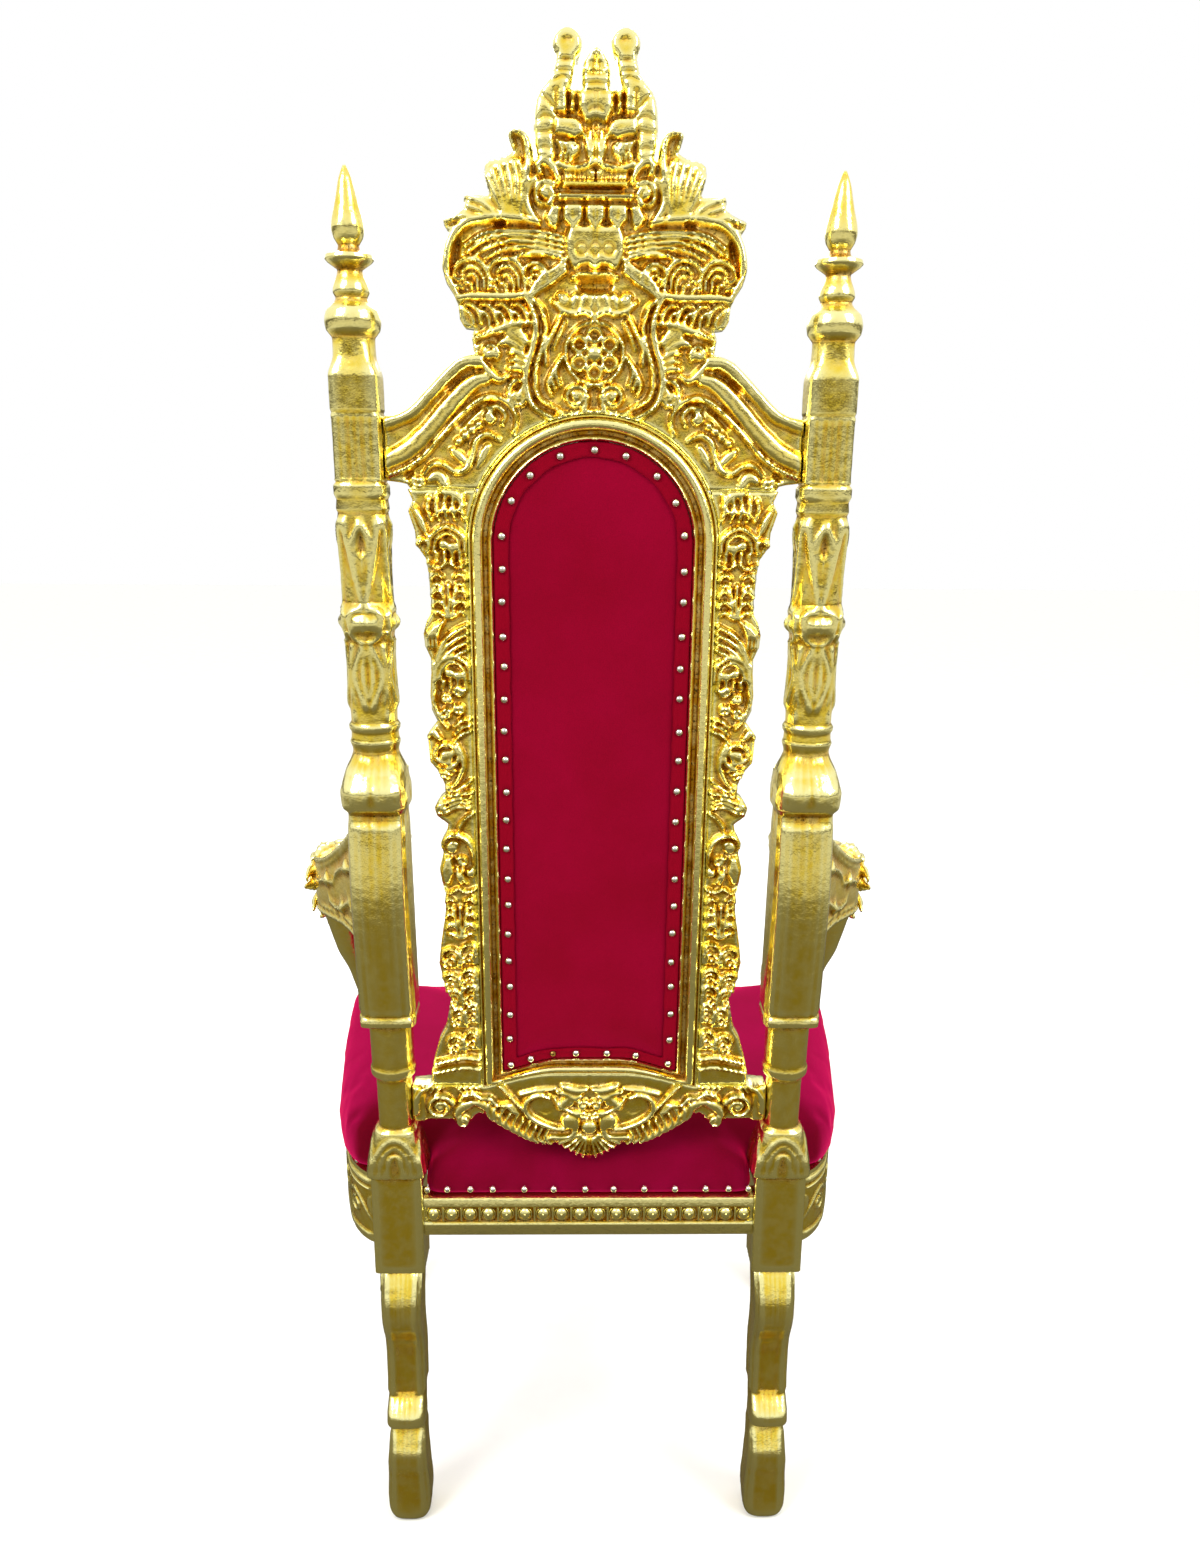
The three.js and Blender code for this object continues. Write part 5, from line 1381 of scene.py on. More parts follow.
ARM_PATH = [  # forward, x, middle height, half width, half height
    (30.6, 250, 938, 31, 158), (70, 256, 925, 30, 132), (120, 276, 896, 28, 96), (180, 312, 868, 28, 66),
    (245, 350, 842, 30, 50), (300, 374, 828, 33, 45), (362, 386, 826, 34, 42),
]
ARM_SUPPORT = [  # height, x, forward, half width, half depth
    (842, 384, 356, 31, 35), (790, 384, 372, 31, 35), (740, 383, 388, 28, 32), (690, 378, 402, 24, 28),
    (650, 366, 418, 24, 26), (620, 356, 432, 28, 30), (598.2, 348, 438, 31, 33),
]
LION = np.array((386.0, -352.0, 828.0))
ARM_REACH = 160  # how far forward the arm still follows the leaning post
ARM_REAR = 30.6  # its flat end against the post, in front of the posts' middle plane
ARM_FOOT = 598  # its flat foot on the seat
MANE_START, MANE_SPREAD = 410, 18.4  # past this X the mane is pressed into this width


def lion_head():
    """Skull, brow, muzzle, nose, chin, cheeks, ears and three rows of curling mane, joined later."""
    parts = []

    def egg(middle, radii, turn=0.0):
        parts.append(ellipsoid(LION + middle, radii, turn))

    def ridge(line, radii):
        parts.append(lock([LION + place for place in line], radii))

    egg((0, -24, 6), (29, 42, 33))
    egg((0, -58, -2), (19, 24, 17))
    egg((0, -76, 4), (9.5, 8, 6.5))
    egg((0, -62, 13), (8, 20, 7), 0.03)
    egg((0, -64, -22), (12, 13, 8))
    egg((0, -40, 28), (17, 18, 11))
    for s in (-1, 1):
        egg((s * 9, -70, -7), (10, 12, 9.5))
        egg((s * 19, -40, -8), (13, 18, 16))
        egg((s * 13.5, -55, 13.5), (5.2, 5, 4.4))
        ridge([(s * 5, -60, 19), (s * 13, -57, 24), (s * 23, -46, 18)], (3, 4.4, 2.5))
        ridge([(s * 7, -60, 8), (s * 14, -57, 8), (s * 20, -49, 11)], (1.5, 2.2, 1.2))
        egg((s * 25, -20, 33), (8, 6, 10))
        ridge([(s * 12, -80, -6), (s * 17, -70, -14), (s * 18, -56, -16)], (1.6, 2.2, 1.4))
    for row, (back, reach, long, count, width) in enumerate(
            ((-22, 31, 24, 12, 7.0), (-4, 36, 30, 13, 7.6), (16, 38, 34, 12, 8.0))):
        for k in range(count):
            angle = (k + 0.5 * (row % 2)) / count * TAU + 0.2
            away = np.array((math.cos(angle), 0, math.sin(angle)))
            turn = np.array((-math.sin(angle), 0, math.cos(angle)))
            low = 1.0 + 0.35 * max(-away[2], 0)
            foot = LION + (0, back, 2) + away * reach * 0.72
            curl = 1 if k % 2 else -1
            tip = LION + (0, back + long * 0.75, 0) + away * (reach + 7) * low + turn * 6 * curl
            parts.append(lock([foot, LION + (0, back + 4, 1) + away * (reach + 6) * low,
                               (foot + tip) / 2 + away * 9 * low, tip, tip - away * 5 + turn * 4 * curl],
                              (width * 0.7, width, width * 0.85, width * 0.55, 1.5)))
    return parts


def arm_parts():
    """The sweeping arm with its carved edge, the support with its leaf, and the scroll on the seat."""
    parts = [
        member(table_stations(ARM_PATH, 2, 4, 44)),
        member(table_stations(ARM_SUPPORT, 1, 3, 40)),
    ]
    rows = np.array(ARM_PATH)
    f = np.linspace(36, 300, 9)
    x, z, a, b = smooth_table(rows, f)
    top, foot = z + b, z - b
    for inset, radius in ((3, 4.2), (13, 2.6)):
        for side in (-1, 1):
            for level in (top - inset - 4, foot + inset + 4):
                parts.append(lock([(x[k] + side * (a[k] - 1.2), -f[k], level[k]) for k in range(9)],
                                  (radius, radius, radius * 0.8), steps=3))
    # running leaves in the hollow of the arm's two faces
    for side in (-1, 1):
        for forward, share, long, swing in ((62, 0.3, 78, 26), (88, -0.3, 84, -22), (138, 0.2, 84, 14),
                                            (160, -0.3, 80, -14), (215, 0.1, 66, 8)):
            g = np.array([forward, forward + long * 0.4, forward + long * 0.8, forward + long])
            gx, gz, ga, gb = smooth_table(rows, g)
            h = gz + gb * share + swing * np.array([0, 0.9, 0.6, -0.5])
            line = [(gx[i] + side * (ga[i] - 0.6), -g[i], h[i]) for i in range(4)]
            parts.append(lock(line, (3, 8.5, 5, 1.5), flat=0.42))
            curl = [(gx[1] + side * (ga[1] - 0.4), -g[1] - 12 * math.cos(t), h[1] + (10 - t) * math.sin(t))
                    for t in np.linspace(0, 5.4, 8)]
            parts.append(lock(curl, (3.4, 3, 2), steps=2))
    # mane falling over the chest, and the support's leaf
    for k in range(7):
        turn = (k / 6 - 0.5) * 2.5
        away = np.array((math.sin(turn), -math.cos(turn), 0))
        parts.append(lock([(384, -362, 800) + away * 30, (384, -372, 772) + away * 37,
                           (384, -380, 744) + away * 34, (384, -384, 722) + away * (35 if k % 2 else 31)],
                          (8, 9, 6.5, 1.5)))
        parts.append(lock([(376, -408, 704) + away * 20, (370, -414, 676) + away * 27,
                           (362, -424, 648) + away * 29, (356, -430, 628) + away * 36],
                          (2, 6.5, 6, 2)))
    for x0, y0, reach in ((318, -452, 20), (350, -458, 16)):
        t = np.linspace(0, 7.5, 16)
        radius = reach - t * reach / 10
        ring = [(x0 + radius[i] * math.cos(t[i]), y0 - 2,
                 622 + radius[i] * math.sin(t[i]) * 0.95) for i in range(16)]
        parts.append(lock(ring, (8, 7, 4), steps=2))
    parts.append(ellipsoid((318, -450, 620), (14, 20, 14)))
    return parts


def fused(name, parts, voxel_mm, smoothing):
    """Overlapping closed shapes made one skin by voxels, then eased."""
    points, faces = join_parts(parts)
    holder = linked(name, raw_mesh(name, points, faces))
    remesh = holder.modifiers.new("voxels", "REMESH")
    remesh.mode, remesh.voxel_size = "VOXEL", voxel_mm * MM
    ease = holder.modifiers.new("ease", "SMOOTH")
    ease.factor, ease.iterations = 0.5, smoothing
    result = evaluated(holder)
    bpy.data.objects.remove(holder)
    place = read_all(result.vertices, "co", float, 3) / MM
    loops = read_all(result.loops, "vertex_index")
    starts = read_all(result.polygons, "loop_start")
    sizes = read_all(result.polygons, "loop_total")
    bpy.data.meshes.remove(result)
    return place, [loops[a:a + n].tolist() for a, n in zip(starts, sizes)]


def arm_mesh(voxel_mm):
    """An arm with its lion, trimmed flat where it meets the post and the seat, and leaning near the post."""
    points, faces = fused("arm_shape", arm_parts() + lion_head(), voxel_mm, 2)
    points[:, 1] = np.minimum(points[:, 1], -ARM_REAR)
    points[:, 2] = np.maximum(points[:, 2], ARM_FOOT)
    wide = np.maximum(points[:, 0] - MANE_START, 0)
    points[:, 0] -= wide * (1 - min(1, MANE_SPREAD / wide.max()))
    share = 1 - np.clip((-points[:, 1] - 31) / ARM_REACH, 0, 1)
    out = points.copy()
    out[:, 1] += POST_Y + np.maximum(points[:, 2] - PIVOT_Z, 0) * LEAN * share
    return out * MM, faces


# ---- upholstery ----
FOOT_NAILS = (74.5, 46.5, 17.5, -21.5, -58)  # the row at the foot, between the corner nails
WORN_NAIL = 1  # its second nail from the throne's left has lost its bright plating
SEAT_NAILS = (210, 184, 154, 125, 84, 46, 5, -32, -72, -112, -152, -182, -208)


def nail_places(inset, count, foot_row):
    """Points for the back's nails, up one side, round the arch and down the other, then along the foot."""
    radius = PANEL_SIDE - inset
    corner = PANEL_FOOT + 0.8 * inset + 1.5
    straight = ARCH_Z - corner
    around = math.pi * radius
    places = []
    for k in range(count):
        s = k / (count - 1) * (2 * straight + around) + 1.6 * math.sin(2.4 * k)
        if s < straight:
            places.append((radius + 0.7 * math.sin(1.7 * k), corner + s))
        elif s < straight + around:
            turn = (s - straight) / radius
            places.append((radius * math.cos(turn), ARCH_Z + radius * math.sin(turn)))
        else:
            places.append((0.7 * math.sin(1.3 * k) - radius, corner + 2 * straight + around - s))
    for x in foot_row:
        places.append((x, corner - 2 + foot_rise(x / PANEL_SIDE)))
    return np.array(places)


def panel_field(pitch):
    """An empty field over the upholstered panel, and each point's distance inside the panel's edge."""
    c = Carving(np.arange(-PANEL_SIDE - 4, PANEL_SIDE + 5, pitch),
                np.arange(PANEL_FOOT - 4, ARCH_Z + PANEL_SIDE + 5, pitch))
    return c, -panel_distance(c.x, c.z, PANEL_SIDE)


def back_panel_mesh(pitch, band, crown, nails):
    """The velvet behind: tight at its nailed border, padded inside it, with faint pulls towards the nails."""
    c, away = panel_field(pitch)
    c.inside = away - 0.2
    crown = crown * np.clip((away - band) / 40, 0, 1) ** 0.6
    wander = 0.5 * np.sin(TAU * c.x / 150 + 1.0) * np.sin(TAU * c.z / 260)
    pulls = np.zeros(c.x.shape)
    for x, z in nails:
        pulls -= 0.8 * np.exp(-((c.x - x) ** 2 + (c.z - z) ** 2) / 13 ** 2)
    rear = np.where(away > band, crown + wander * np.clip((away - band) / 30, 0, 1) + pulls, 0.0)
    points, faces = plate(c, rear, np.full(c.x.shape, -6.0), 1.5)
    return leaned(points), faces


def band_mesh(pitch, band, nails):
    """The border strip of velvet, folded under along its edges and dimpled at every nail."""
    c, away = panel_field(pitch)
    edge = band + 1.1 * np.sin(TAU * c.z / 47) * np.sin(TAU * c.x / 61 + 0.5)
    c.inside = np.minimum(away - 0.6, edge - away)
    roll = 1.3 * np.clip(1 - np.abs(away - edge + 2.6) / 3.0, 0, 1) ** 0.6
    roll += 0.8 * np.clip(1 - np.abs(away - 2.6) / 2.4, 0, 1) ** 0.6
    pulls = np.zeros(c.x.shape)
    for x, z in nails:
        reach = np.hypot(c.x - x, c.z - z)
        pulls -= 1.9 * np.exp(-(reach / 6.5) ** 2) - 0.35 * np.exp(-((reach - 10) / 3.5) ** 2)
    points, faces = plate(c, 3.0 + roll + pulls, np.full(c.x.shape, 0.3), 1.6)
    return leaned(points), faces


def inside_pad_mesh(pitch):
    """The sitter's side of the back: a deep domed pad pulled in along its edge."""
    c, away = panel_field(pitch)
    c.inside = away - 0.3
    dome = 20.0 * np.sin(np.clip(away / 60, 0, 1) * math.pi / 2) ** 0.75
    seam = 1.6 * np.exp(-((away - 16) / 3.0) ** 2)
    wander = 0.6 * np.sin(TAU * c.x / 130) * np.sin(TAU * c.z / 210 + 0.6)
    front = -22 - dome + seam - wander * np.clip(away / 50, 0, 1)
    points, faces = plate(c, np.full(c.x.shape, -6.3), front, 6.0)
    return leaned(points), faces


def cushion_shape():
    """The seat's stuffing before it swells: plan rings from the rails up to the crown."""
    side = curve([(x, -f) for f, x in SEAT_PLAN if f >= 42], 6)
    # Height, swell past the rails, rear edge.
    levels = [(RAIL_TOP + GAP, -2, 16), (520, 3, 17.6), (533, 7, 16.5), (546, 9, 12), (553, 9.5, 3),
              (559, 9, -33), (566, 6, -34.5), (573, 0, -36), (579, -10, -41), (584, -26, -52),
              (588, -50, -72), (591, -84, -104), (592, -130, -150)]
    rings = []
    for z, swell, rear in levels:
        swell = swell + 6
        notch = 214.2 + min(swell, 0) * 0.9
        behind = min(-47 + swell * 0.3, rear - 1)
        right = [(x + swell * min(1, x / 380), min(y, behind) if y > -60 else y) for x, y in side if y < -44]
        front = -SEAT_DEPTH - max(swell, -90) * 0.9 + 1
        corner = [(383 + swell, min(-486 - swell * 0.5, -300)), (366 + swell, front + 4),
                  (335 + swell, front)]
        half = np.array([(notch, rear), (notch, behind)] + right + corner)
        rings.append(np.column_stack([np.concatenate([half, (half * (-1, 1))[::-1]]),
                                      np.full(2 * len(half), z)]))
    return skin(np.array(rings))


CLOTH_FRAMES = 20
HELD_HEM = 9  # velvet lower than this above the rails is nailed down and can't swell


def swollen(name, points, faces, voxel_mm, pressure, cap_mm):
    """Velvet over stuffing: a voxel skin blown up as cloth, its hem held and each point's travel capped."""
    holder = linked(name + "_stuffing", raw_mesh(name + "_stuffing", np.asarray(points, float), faces))
    remesh = holder.modifiers.new("voxels", "REMESH")
    remesh.mode, remesh.voxel_size = "VOXEL", voxel_mm * MM
    cover = evaluated(holder)
    holder.modifiers.clear()
    holder.data = cover
    before = read_all(cover.vertices, "co", float, 3)
    after = before.copy()
    pinned = holder.vertex_groups.new(name="held")
    low = np.flatnonzero(before[:, 2] < (RAIL_TOP + HELD_HEM) * MM)
    pinned.add(low.tolist(), 1.0, "REPLACE")
    cloth = holder.modifiers.new("cloth", "CLOTH")
    cloth.settings.use_pressure = True
    cloth.settings.uniform_pressure_force = pressure
    cloth.settings.vertex_group_mass = "held"
    cloth.settings.effector_weights.gravity = 0
    cloth.settings.tension_stiffness = 25
    cloth.settings.bending_stiffness = 2
    cloth.point_cache.frame_start, cloth.point_cache.frame_end = 1, CLOTH_FRAMES
    for number in range(1, CLOTH_FRAMES + 1):
        bpy.context.scene.frame_set(number)
    blown = evaluated(holder)
    travel = read_all(blown.vertices, "co", float, 3) - before
    length = np.linalg.norm(travel, axis=1)
    after = before + travel * np.minimum(1, cap_mm * MM / np.maximum(length, 1e-9))[:, None]
    bpy.data.meshes.remove(blown)
    holder.modifiers.clear()
    bpy.context.scene.frame_set(1)
    cover.vertices.foreach_set("co", after.ravel())
    cover.update()
    rounder = holder.modifiers.new("rounder", "SUBSURF")
    rounder.levels = rounder.render_levels = 1
    result = evaluated(holder)
    bpy.data.objects.remove(holder)
    result.transform(Matrix.Translation((0, POST_Y * MM, 0)))
    return result




# ---- nails ----
def nail_tree(material):
    """Round-headed nails on the points of a base mesh, each turned to its point's own facing."""
    tree = bpy.data.node_groups.new("dome_nails", "GeometryNodeTree")
    face = tree.interface
    face.new_socket("Geometry", in_out="OUTPUT", socket_type="NodeSocketGeometry")
    face.new_socket("Geometry", in_out="INPUT", socket_type="NodeSocketGeometry")
    radius = face.new_socket("Radius", in_out="INPUT", socket_type="NodeSocketFloat")
    dome = face.new_socket("Dome", in_out="INPUT", socket_type="NodeSocketFloat")
    given = node(tree, "NodeGroupInput").outputs
    facing = node(tree, "GeometryNodeInputNamedAttribute", {"data_type": "FLOAT_VECTOR", "Name": "facing"})
    turned = node(tree, "FunctionNodeAlignRotationToVector", {"axis": "Z"}, {"Vector": facing.outputs[0]})
    ball = node(tree, "GeometryNodeMeshUVSphere", {"Segments": 14, "Rings": 8}, {"Radius": given["Radius"]})
    share = node(tree, "ShaderNodeMath", {"operation": "DIVIDE"}, {0: given["Dome"], 1: given["Radius"]})
    squat = node(tree, "ShaderNodeCombineXYZ", {"X": 1.0, "Y": 1.0}, {"Z": share.outputs[0]})
    head = node(tree, "GeometryNodeTransform", links={"Geometry": ball.outputs[0], "Scale": squat.outputs[0]})
    placed = node(tree, "GeometryNodeInstanceOnPoints",
                  links={"Points": given["Geometry"], "Instance": head.outputs[0],
                         "Rotation": turned.outputs[0]})
    real = node(tree, "GeometryNodeRealizeInstances", links={0: placed.outputs[0]})
    done = node(tree, "GeometryNodeSetMaterial", {"Material": material}, {0: real.outputs[0]})
    node(tree, "NodeGroupOutput", links={0: done.outputs[0]})
    return tree, radius.identifier, dome.identifier


def nail_row(name, points, facings, radius_mm, dome_mm, material):
    """Nails as one plain mesh; their places in metres, their facings as unit vectors."""
    tree, radius, dome = nail_tree(material)
    base = bpy.data.meshes.new(name + "_places")
    base.from_pydata(np.asarray(points).tolist(), [], [])
    facing = base.attributes.new("facing", "FLOAT_VECTOR", "POINT")
    facing.data.foreach_set("vector", np.asarray(facings, float).ravel())
    sockets = {"radius": (radius, radius_mm * MM), "dome": (dome, dome_mm * MM)}
    return grown(name, tree, sockets, base)


def seat_edge(count):
    """Places and facings of the small nails along the velvet's hem on the seat's sides and front."""
    side = curve([(x, -f) for f, x in SEAT_PLAN if f >= 42], 8)[4:]
    line = np.concatenate([side, [(386, -476), (379, -490), (360, -498), (330, -500), (0, -500)]])
    line = np.concatenate([line, line[-2::-1] * (-1, 1)])
    steps = passed(line)
    along = (np.arange(count) + 0.5) / count * steps[-1]
    place = np.column_stack([np.interp(along, steps, line[:, k]) for k in (0, 1)])
    ahead = np.column_stack([np.interp(along + 3, steps, line[:, k]) for k in (0, 1)]) - place
    out = np.column_stack([-ahead[:, 1], ahead[:, 0], np.zeros(count)])
    out /= np.maximum(np.linalg.norm(out, axis=1), 1e-9)[:, None]
    return np.column_stack([place, np.full(count, RAIL_TOP + 7.0)]), out


# ---- materials ----
def linear(colour):
    """A hex sRGB colour as linear RGBA."""
    parts = [int(colour[i:i + 2], 16) / 255 for i in (1, 3, 5)]
    return tuple(v / 12.92 if v <= 0.04045 else ((v + 0.055) / 1.055) ** 2.4 for v in parts) + (1.0,)


def node(tree, kind, settings=(), links=()):
    """Adds a node: settings are its properties and input values, links are (input, socket) pairs."""
    made = tree.nodes.new(kind)
    for name, value in dict(settings).items():
        if isinstance(name, int) or name in made.inputs:
            made.inputs[name].default_value = value
        else:
            setattr(made, name, value)
    for name, socket in dict(links).items():
        tree.links.new(socket, made.inputs[name])
    return made


def set_inputs(shader, **values):
    """Sets a shader's plain inputs; an underscore stands for a space."""
    for name, value in values.items():
        shader.inputs[name.replace("_", " ")].default_value = value


def new_material(name):
    """An empty material with its shader and Object coordinates."""
    material = bpy.data.materials.new(name)
    material.use_nodes = True
    tree = material.node_tree
    tree.nodes.clear()
    shader = tree.nodes.new("ShaderNodeBsdfPrincipled")
    output = tree.nodes.new("ShaderNodeOutputMaterial")
    tree.links.new(shader.outputs["BSDF"], output.inputs["Surface"])
    place = node(tree, "ShaderNodeTexCoord").outputs["Object"]
    return material, tree, shader, place


def per_metre(size_mm):
    """A texture's scale for a feature of a real size."""
    return 1.0 / (size_mm * MM)


def ramp(tree, value, stops):
    """A colour ramp over a value: (position, hex colour) pairs."""
    made = node(tree, "ShaderNodeValToRGB", links={"Fac": value})
    elements = made.color_ramp.elements
    for i, (position, colour) in enumerate(stops):
        element = elements[i] if i < 2 else elements.new(position)
        element.position, element.color = position, linear(colour)
    return made.outputs["Color"]


def mixed(tree, factor, a, b, blend="MIX"):
    """A mix of two colour sockets or hex colours."""
    made = node(tree, "ShaderNodeMix", {"data_type": "RGBA", "blend_type": blend})
    for index, value in ((0, factor), (6, a), (7, b)):
        if isinstance(value, str):
            made.inputs[index].default_value = linear(value)
        elif isinstance(value, float):
            made.inputs[index].default_value = value
        else:
            tree.links.new(value, made.inputs[index])
    return made.outputs[2]


def ranged(tree, value, low, high, to_low, to_high):
    """A value moved from one range to another and held inside it."""
    return node(tree, "ShaderNodeMapRange", {1: low, 2: high, 3: to_low, 4: to_high}, {0: value}).outputs[0]


def noise(tree, place, size_mm, detail=3.0, rough=0.5):
    """Cloudy noise whose clouds have a real size."""
    return node(tree, "ShaderNodeTexNoise",
                {"Scale": per_metre(size_mm), "Detail": detail, "Roughness": rough},
                {"Vector": place}).outputs["Fac"]


def gold_leaf(tones):
    """Burnished gold leaf over gessoed, carved wood: a mirror of metal, with a painted highlight (a paler
    colour) on raised places, painted reflected light (a more orange colour) and painted shade (a darker
    amber) in the recesses, rougher in the recesses where the brush can't burnish it, with the gesso's soft
    unevenness under it."""
    material, tree, shader, place = new_material("gold_leaf_on_carved_wood")
    depth = node(tree, "ShaderNodeAttribute", {"attribute_name": "recess"}).outputs["Fac"]
    mottle = noise(tree, place, 14, 4.0, 0.6)
    speck = noise(tree, place, 2.6, 2.0, 0.7)
    deep = ranged(tree, depth, -0.9, 1.6, 0.0, 1.0)
    # Painted highlight and shade by the recess attribute: a pale colour on raised places, a more orange
    # colour (painted reflected light) in the hollows and a darker amber (painted shade) in the deepest cuts.
    tone = ramp(tree, deep, [(0.0, tones.gold_pale_highlight), (0.36, tones.gold), (0.62, tones.gold_recess_reflected_light),
                             (1.0, tones.gold_deep_shade)])
    # Random mottled patches lean towards the same pale colour.
    skewed = mixed(tree, ranged(tree, mottle, 0.42, 0.62, 0.0, 0.35), tone, tones.gold_pale_highlight)
    # Dark speckles laid into the hollows, thicker where they lie deeper.
    dark_hollow_speckle = node(tree, "ShaderNodeMath", {"operation": "MULTIPLY"},
                 {0: ranged(tree, speck, 0.52, 0.66, 0.0, 1.0), 1: ranged(tree, depth, 0.25, 1.3, 0.0, 0.9)})
    colour = mixed(tree, dark_hollow_speckle.outputs[0], skewed, tones.dark_hollow_speckle)
    tree.links.new(colour, shader.inputs["Base Color"])
    set_inputs(shader, Metallic=1.0)
    rough = node(tree, "ShaderNodeMath", {"operation": "ADD"},
                 {0: ranged(tree, mottle, 0.3, 0.7, 0.12, 0.22), 1: ranged(tree, depth, 0.0, 1.6, 0.0, 0.22)})
    tree.links.new(rough.outputs[0], shader.inputs["Roughness"])
    gesso = node(tree, "ShaderNodeBump", {"Strength": 0.8, "Distance": 0.7 * MM},
                 {"Height": noise(tree, place, 8, 3.0, 0.55)})
    grain = node(tree, "ShaderNodeBump", {"Strength": 0.6, "Distance": 0.25 * MM},
                 {"Height": noise(tree, place, 2.6, 2.0, 0.6), "Normal": gesso.outputs["Normal"]})
    tree.links.new(grain.outputs["Normal"], shader.inputs["Normal"])
    return material


def velvet(name, base, lit, sheen):
    """Cotton velvet, cut pile 1.5 mm high, with a painted sheen: dark straight on and lighter at grazing view
    angles, with brushed marks.
    The pile's own tufts are too fine to show, so its grain is drawn at 1.2 mm."""
    material, tree, shader, place = new_material(name)
    brushed = noise(tree, place, 120, 3.0, 0.55)
    pile = noise(tree, place, 1.2, 2.0, 0.6)
    # Painted sheen: the colour turns from base to lit at grazing view angles, by the facing weight; random
    # brush marks lift it a little too.
    glance = node(tree, "ShaderNodeLayerWeight", {"Blend": 0.5}).outputs["Facing"]
    stroke = ranged(tree, brushed, 0.35, 0.68, 0.0, 0.22)
    leaning = node(tree, "ShaderNodeMath", {"operation": "ADD", "use_clamp": True},
                   {0: ranged(tree, glance, 0.18, 0.8, 0.0, 1.0), 1: stroke}).outputs[0]
    tone = mixed(tree, leaning, base, lit)
    shade = mixed(tree, ranged(tree, pile, 0.3, 0.7, 0.0, 0.22), tone, "#3A0010")
    tree.links.new(shade, shader.inputs["Base Color"])
    set_inputs(shader, Roughness=0.85, Specular_IOR_Level=0.04, Sheen_Weight=sheen, Sheen_Roughness=0.35,
               Sheen_Tint=linear("#FF1460"))
    bump = node(tree, "ShaderNodeBump", {"Strength": 0.35, "Distance": 0.4 * MM}, {"Height": pile})
    tree.links.new(bump.outputs["Normal"], shader.inputs["Normal"])
    return material


def nail_metal(name, bright, dull, smoothest, roughest):
    """A stamped and tumbled nail head: plating over brass, its colour and gloss broken by fine wear."""
    material, tree, shader, place = new_material(name)
    worn = noise(tree, place, 3, 2.0, 0.5)
    tree.links.new(mixed(tree, ranged(tree, worn, 0.4, 0.7, 0.0, 1.0), bright, dull),
                   shader.inputs["Base Color"])
    set_inputs(shader, Metallic=1.0)
    tree.links.new(ranged(tree, worn, 0.3, 0.7, smoothest, roughest), shader.inputs["Roughness"])
    return material


def studio_floor():
    """A painted studio floor, matt and pale to the camera, with a barely visible roller texture; to glossy
    rays it shows a painted reflection, dark olive near the throne and paler far off.
    """
    material, tree, shader, place = new_material("pale_floor_paint")
    tone = mixed(tree, ranged(tree, noise(tree, place, 60), 0.3, 0.7, 0.0, 1.0), "#FCFCFB", "#F8F8F7")
    away = node(tree, "ShaderNodeVectorMath", {"operation": "LENGTH"}, {0: place}).outputs["Value"]
    shown = ramp(tree, ranged(tree, away, 0.0, 8.0, 0.0, 1.0),
                 [(0.0, "#625D49"), (0.24, "#5E5945"), (0.38, "#9C9886"), (0.6, "#D0CCBC"), (1.0, "#D0CCBC")])
    # Painted reflection: glossy rays see the floor dark olive near the throne and paler far away, so that the
    # gold mirrors a dark ground.
    mirrored = node(tree, "ShaderNodeLightPath").outputs["Is Glossy Ray"]
    tree.links.new(mixed(tree, mirrored, tone, shown), shader.inputs["Base Color"])
    set_inputs(shader, Roughness=0.9, Specular_IOR_Level=0.1)
    return material


def material_of(name):
    """The finishes, each made once."""
    made = bpy.data.materials.get({"gold": "gold_leaf_on_carved_wood", "velvet": "cut_velvet_crimson",
                                   "seat": "cut_velvet_seat_magenta_sheen", "band": "cut_velvet_border",
                                   "nail": "nickel_plated_steel", "worn_nail": "brass_with_plating_worn_off",
                                   "floor": "pale_floor_paint"}[name])
    if made:
        return made
    tones = bpy.context.scene.throne_finish
    if name == "gold":
        return gold_leaf(tones)
    if name == "velvet":
        return velvet("cut_velvet_crimson", tones.velvet, tones.velvet_sheen_and_brushed, 0.03)
    if name == "seat":
        # The seat's darker base, its brighter painted sheen colour and its strong shader sheen give its
        # magenta look.
        return velvet("cut_velvet_seat_magenta_sheen", tones.seat_velvet, tones.seat_velvet_sheen_and_brushed, 0.6)
    if name == "band":
        # The border's painted sheen colour is the back velvet's own colour.
        return velvet("cut_velvet_border", tones.band_velvet, tones.velvet, 0.03)
    if name == "nail":
        # Nickel plating that is still whole: a bright, slightly warm mirror.
        return nail_metal("nickel_plated_steel", "#E8E6E0", "#C9C4B8", 0.12, 0.28)
    if name == "worn_nail":
        # Brass left bare and tarnished: brown and dull beside its neighbours.
        return nail_metal("brass_with_plating_worn_off", "#A8874A", "#6E5026", 0.32, 0.5)
    return studio_floor()


